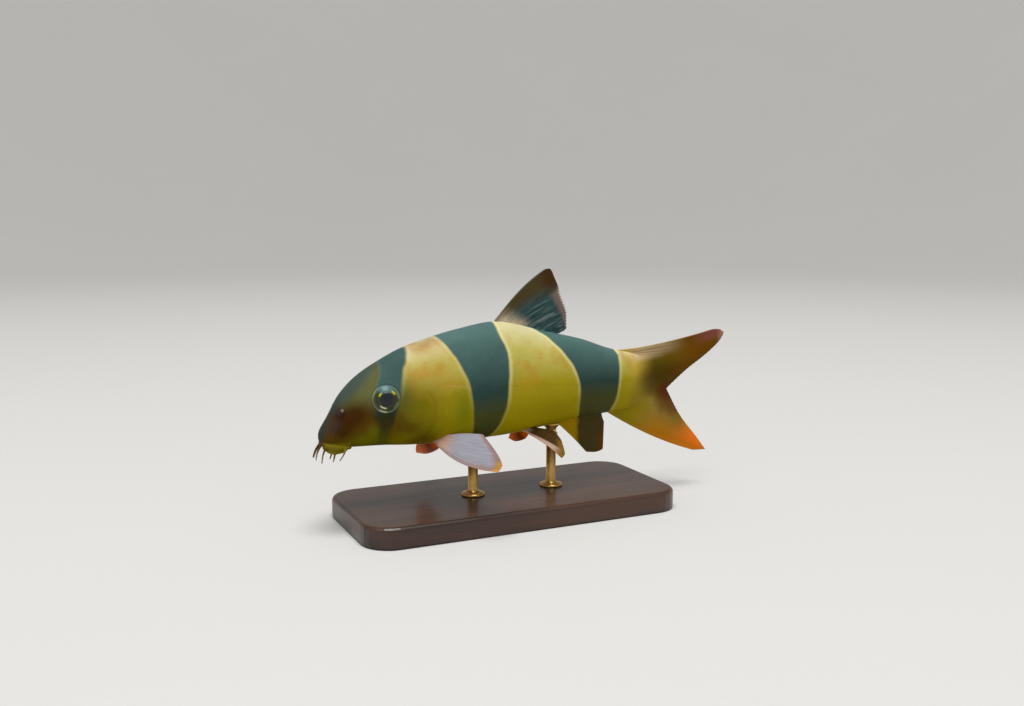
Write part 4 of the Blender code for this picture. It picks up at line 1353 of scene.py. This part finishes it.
class LOACH_OT_fins(bpy.types.Operator):
    """Build the fins, each with its rays and web"""
    bl_idname = "loach.fins"
    bl_label = "Fins"

    def execute(self, context):
        c = context.scene.loach_fins
        breast, pelvic = breast_material(c), pelvic_material(c)
        for name, material, slot_name in (
                ("dorsal", dorsal_material(c), "fin_dorsal_web"),
                ("anal", anal_material(c), "fin_anal_web"),
                ("tail_upper", tail_material(c, False), "fin_tail_web"),
                ("tail_lower", tail_material(c, True), "fin_tail_web"),
                ("pectoral_left", breast, "fin_breast_web"),
                ("pectoral_right", breast, "fin_breast_web"),
                ("pelvic_left", pelvic, "fin_pelvic_web"),
                ("pelvic_right", pelvic, "fin_pelvic_web")):
            points, faces, fields = fin_sheet(FINS[name], c.web / MM, c.ray / MM)
            fin = add_piece("web_" + name, to_frame(points), faces, fields)
            settle(fin, material, slot_name, "fin_" + name)
        return {"FINISHED"}


class LOACH_OT_eyes(bpy.types.Operator):
    """Build both eyes"""
    bl_idname = "loach.eyes"
    bl_label = "Eyes"

    def execute(self, context):
        material = eye_material(context.scene.loach_eyes)
        for side, label in SIDES:
            points, faces, fields = eye_shape(side)
            eye = add_piece("eyeball_" + label, to_frame(points), faces, fields)
            settle(eye, material, "eye_ball", "eye_" + label)
        return {"FINISHED"}


class LOACH_OT_stand(bpy.types.Operator):
    """Build the posts and finish the base of the stand"""
    bl_idname = "loach.stand"
    bl_label = "Stand"

    def execute(self, context):
        c = context.scene.loach_stand
        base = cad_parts["stand_base"]
        base.data.materials.clear()
        base.data.materials.append(wood_material(c))
        brass = brass_material(c)
        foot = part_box("stand_base")[1].z
        for label in ("front", "rear"):
            node = "stand_rod_" + label
            low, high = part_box(node)
            top = high.z + POST_RISE * MM
            points, faces = post_shape((low.x + high.x) / 2, foot, top, c.post)
            post = add_piece("stand_post_" + label, points, faces)
            settle(post, brass, "stand_brass", node)
        return {"FINISHED"}


def add_floor(c):
    """A round floor that bends up into the backdrop, in metres."""
    angle = np.linspace(0, 2 * math.pi, FLOOR_SIDES, endpoint=False)
    bend = np.radians(np.linspace(0, 80, 16))
    profile = [(0.01, 0.0), (0.3, 0.0)] + [
        (c.floor_radius + FLOOR_BEND * math.sin(t), FLOOR_BEND * (1 - math.cos(t))) for t in bend]
    rings = np.array([np.column_stack((r * np.cos(angle), r * np.sin(angle), angle * 0 + height))
                      for r, height in profile])
    faces = grid_faces(len(profile), FLOOR_SIDES, closed=True) + [list(range(FLOOR_SIDES))[::-1]]
    floor = add_piece("floor", rings.reshape(-1, 3), faces)
    look = Look("pale_floor", Specular_IOR_Level=0.1, Roughness=0.9)
    look.feed(Base_Color=look.shade(c.floor, 0.985 + look.noise(6, 2) * 0.03))
    floor.data.materials.append(look.material)
    floor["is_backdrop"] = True


def add_lights(c, scene):
    """Two soft lamps and an even pale sky."""
    for name, power, size, place in LIGHTS:
        lamp = bpy.data.lights.new(name, "POINT")
        lamp.energy, lamp.shadow_soft_size = getattr(c, power), size
        holder = bpy.data.objects.new(name, lamp)
        holder.location = place
        scene.collection.objects.link(holder)
    world = bpy.data.worlds.new("studio")
    world.use_nodes = True
    sky = world.node_tree.nodes["Background"]
    sky.inputs["Color"].default_value = (1, 1, 1, 1)
    sky.inputs["Strength"].default_value = c.sky
    scene.world = world
    scene.view_settings.view_transform = "Standard"


def add_camera(scene):
    """The camera, from the fish's left and a little from the front."""
    ahead = Vector((-math.sin(CAMERA_TURN) * math.cos(CAMERA_DIP),
                    math.cos(CAMERA_TURN) * math.cos(CAMERA_DIP), -math.sin(CAMERA_DIP)))
    across = Vector((math.cos(CAMERA_TURN), math.sin(CAMERA_TURN), 0))
    optics = bpy.data.cameras.new("camera")
    optics.sensor_width = SENSOR_WIDTH
    optics.lens = LENS_WIDTHS * SENSOR_WIDTH
    optics.clip_start = MM
    camera = bpy.data.objects.new("camera", optics)
    camera.matrix_world = Matrix((across, across.cross(ahead), -ahead)).transposed().to_4x4()
    camera.location = CAMERA_PLACE
    scene.collection.objects.link(camera)
    scene.camera = camera


class LOACH_OT_stage(bpy.types.Operator):
    """Set out the floor, the lights and the camera"""
    bl_idname = "loach.stage"
    bl_label = "Stage"

    def execute(self, context):
        settings = context.scene.loach_stage
        add_floor(settings)
        add_lights(settings, context.scene)
        add_camera(context.scene)
        return {"FINISHED"}


class LOACH_PT_model(bpy.types.Panel):
    """Lists the loach's pieces and their settings"""
    bl_label = "Clown Loach"
    bl_idname = "LOACH_PT_model"
    bl_space_type = "VIEW_3D"
    bl_region_type = "UI"
    bl_category = "Loach"

    def draw(self, context):
        for operator, group in PIECES:
            box = self.layout.box()
            box.operator("loach." + operator)
            settings = getattr(context.scene, "loach_" + operator)
            for name in group.__annotations__:
                box.prop(settings, name)


PIECES = (("skin", LOACH_PG_skin), ("fins", LOACH_PG_fins), ("eyes", LOACH_PG_eyes),
          ("stand", LOACH_PG_stand), ("stage", LOACH_PG_stage))
CLASSES = tuple(group for _, group in PIECES) + (
    LOACH_OT_skin, LOACH_OT_fins, LOACH_OT_eyes, LOACH_OT_stand, LOACH_OT_stage, LOACH_PT_model)


def register():
    for cls in CLASSES:
        bpy.utils.register_class(cls)
    for name, group in PIECES:
        setattr(bpy.types.Scene, "loach_" + name, bpy.props.PointerProperty(type=group))


def unregister():
    for name, _ in PIECES:
        delattr(bpy.types.Scene, "loach_" + name)
    for cls in reversed(CLASSES):
        bpy.utils.unregister_class(cls)


def main():
    register()
    bpy.ops.loach.skin()
    bpy.ops.loach.fins()
    bpy.ops.loach.eyes()
    bpy.ops.loach.stand()
    bpy.ops.loach.stage()
    size = {name: [list(corner) for corner in box]
            for name, box in (("cad", CAD_BOX), ("visual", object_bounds()))}


if __name__ == "__main__":
    main()
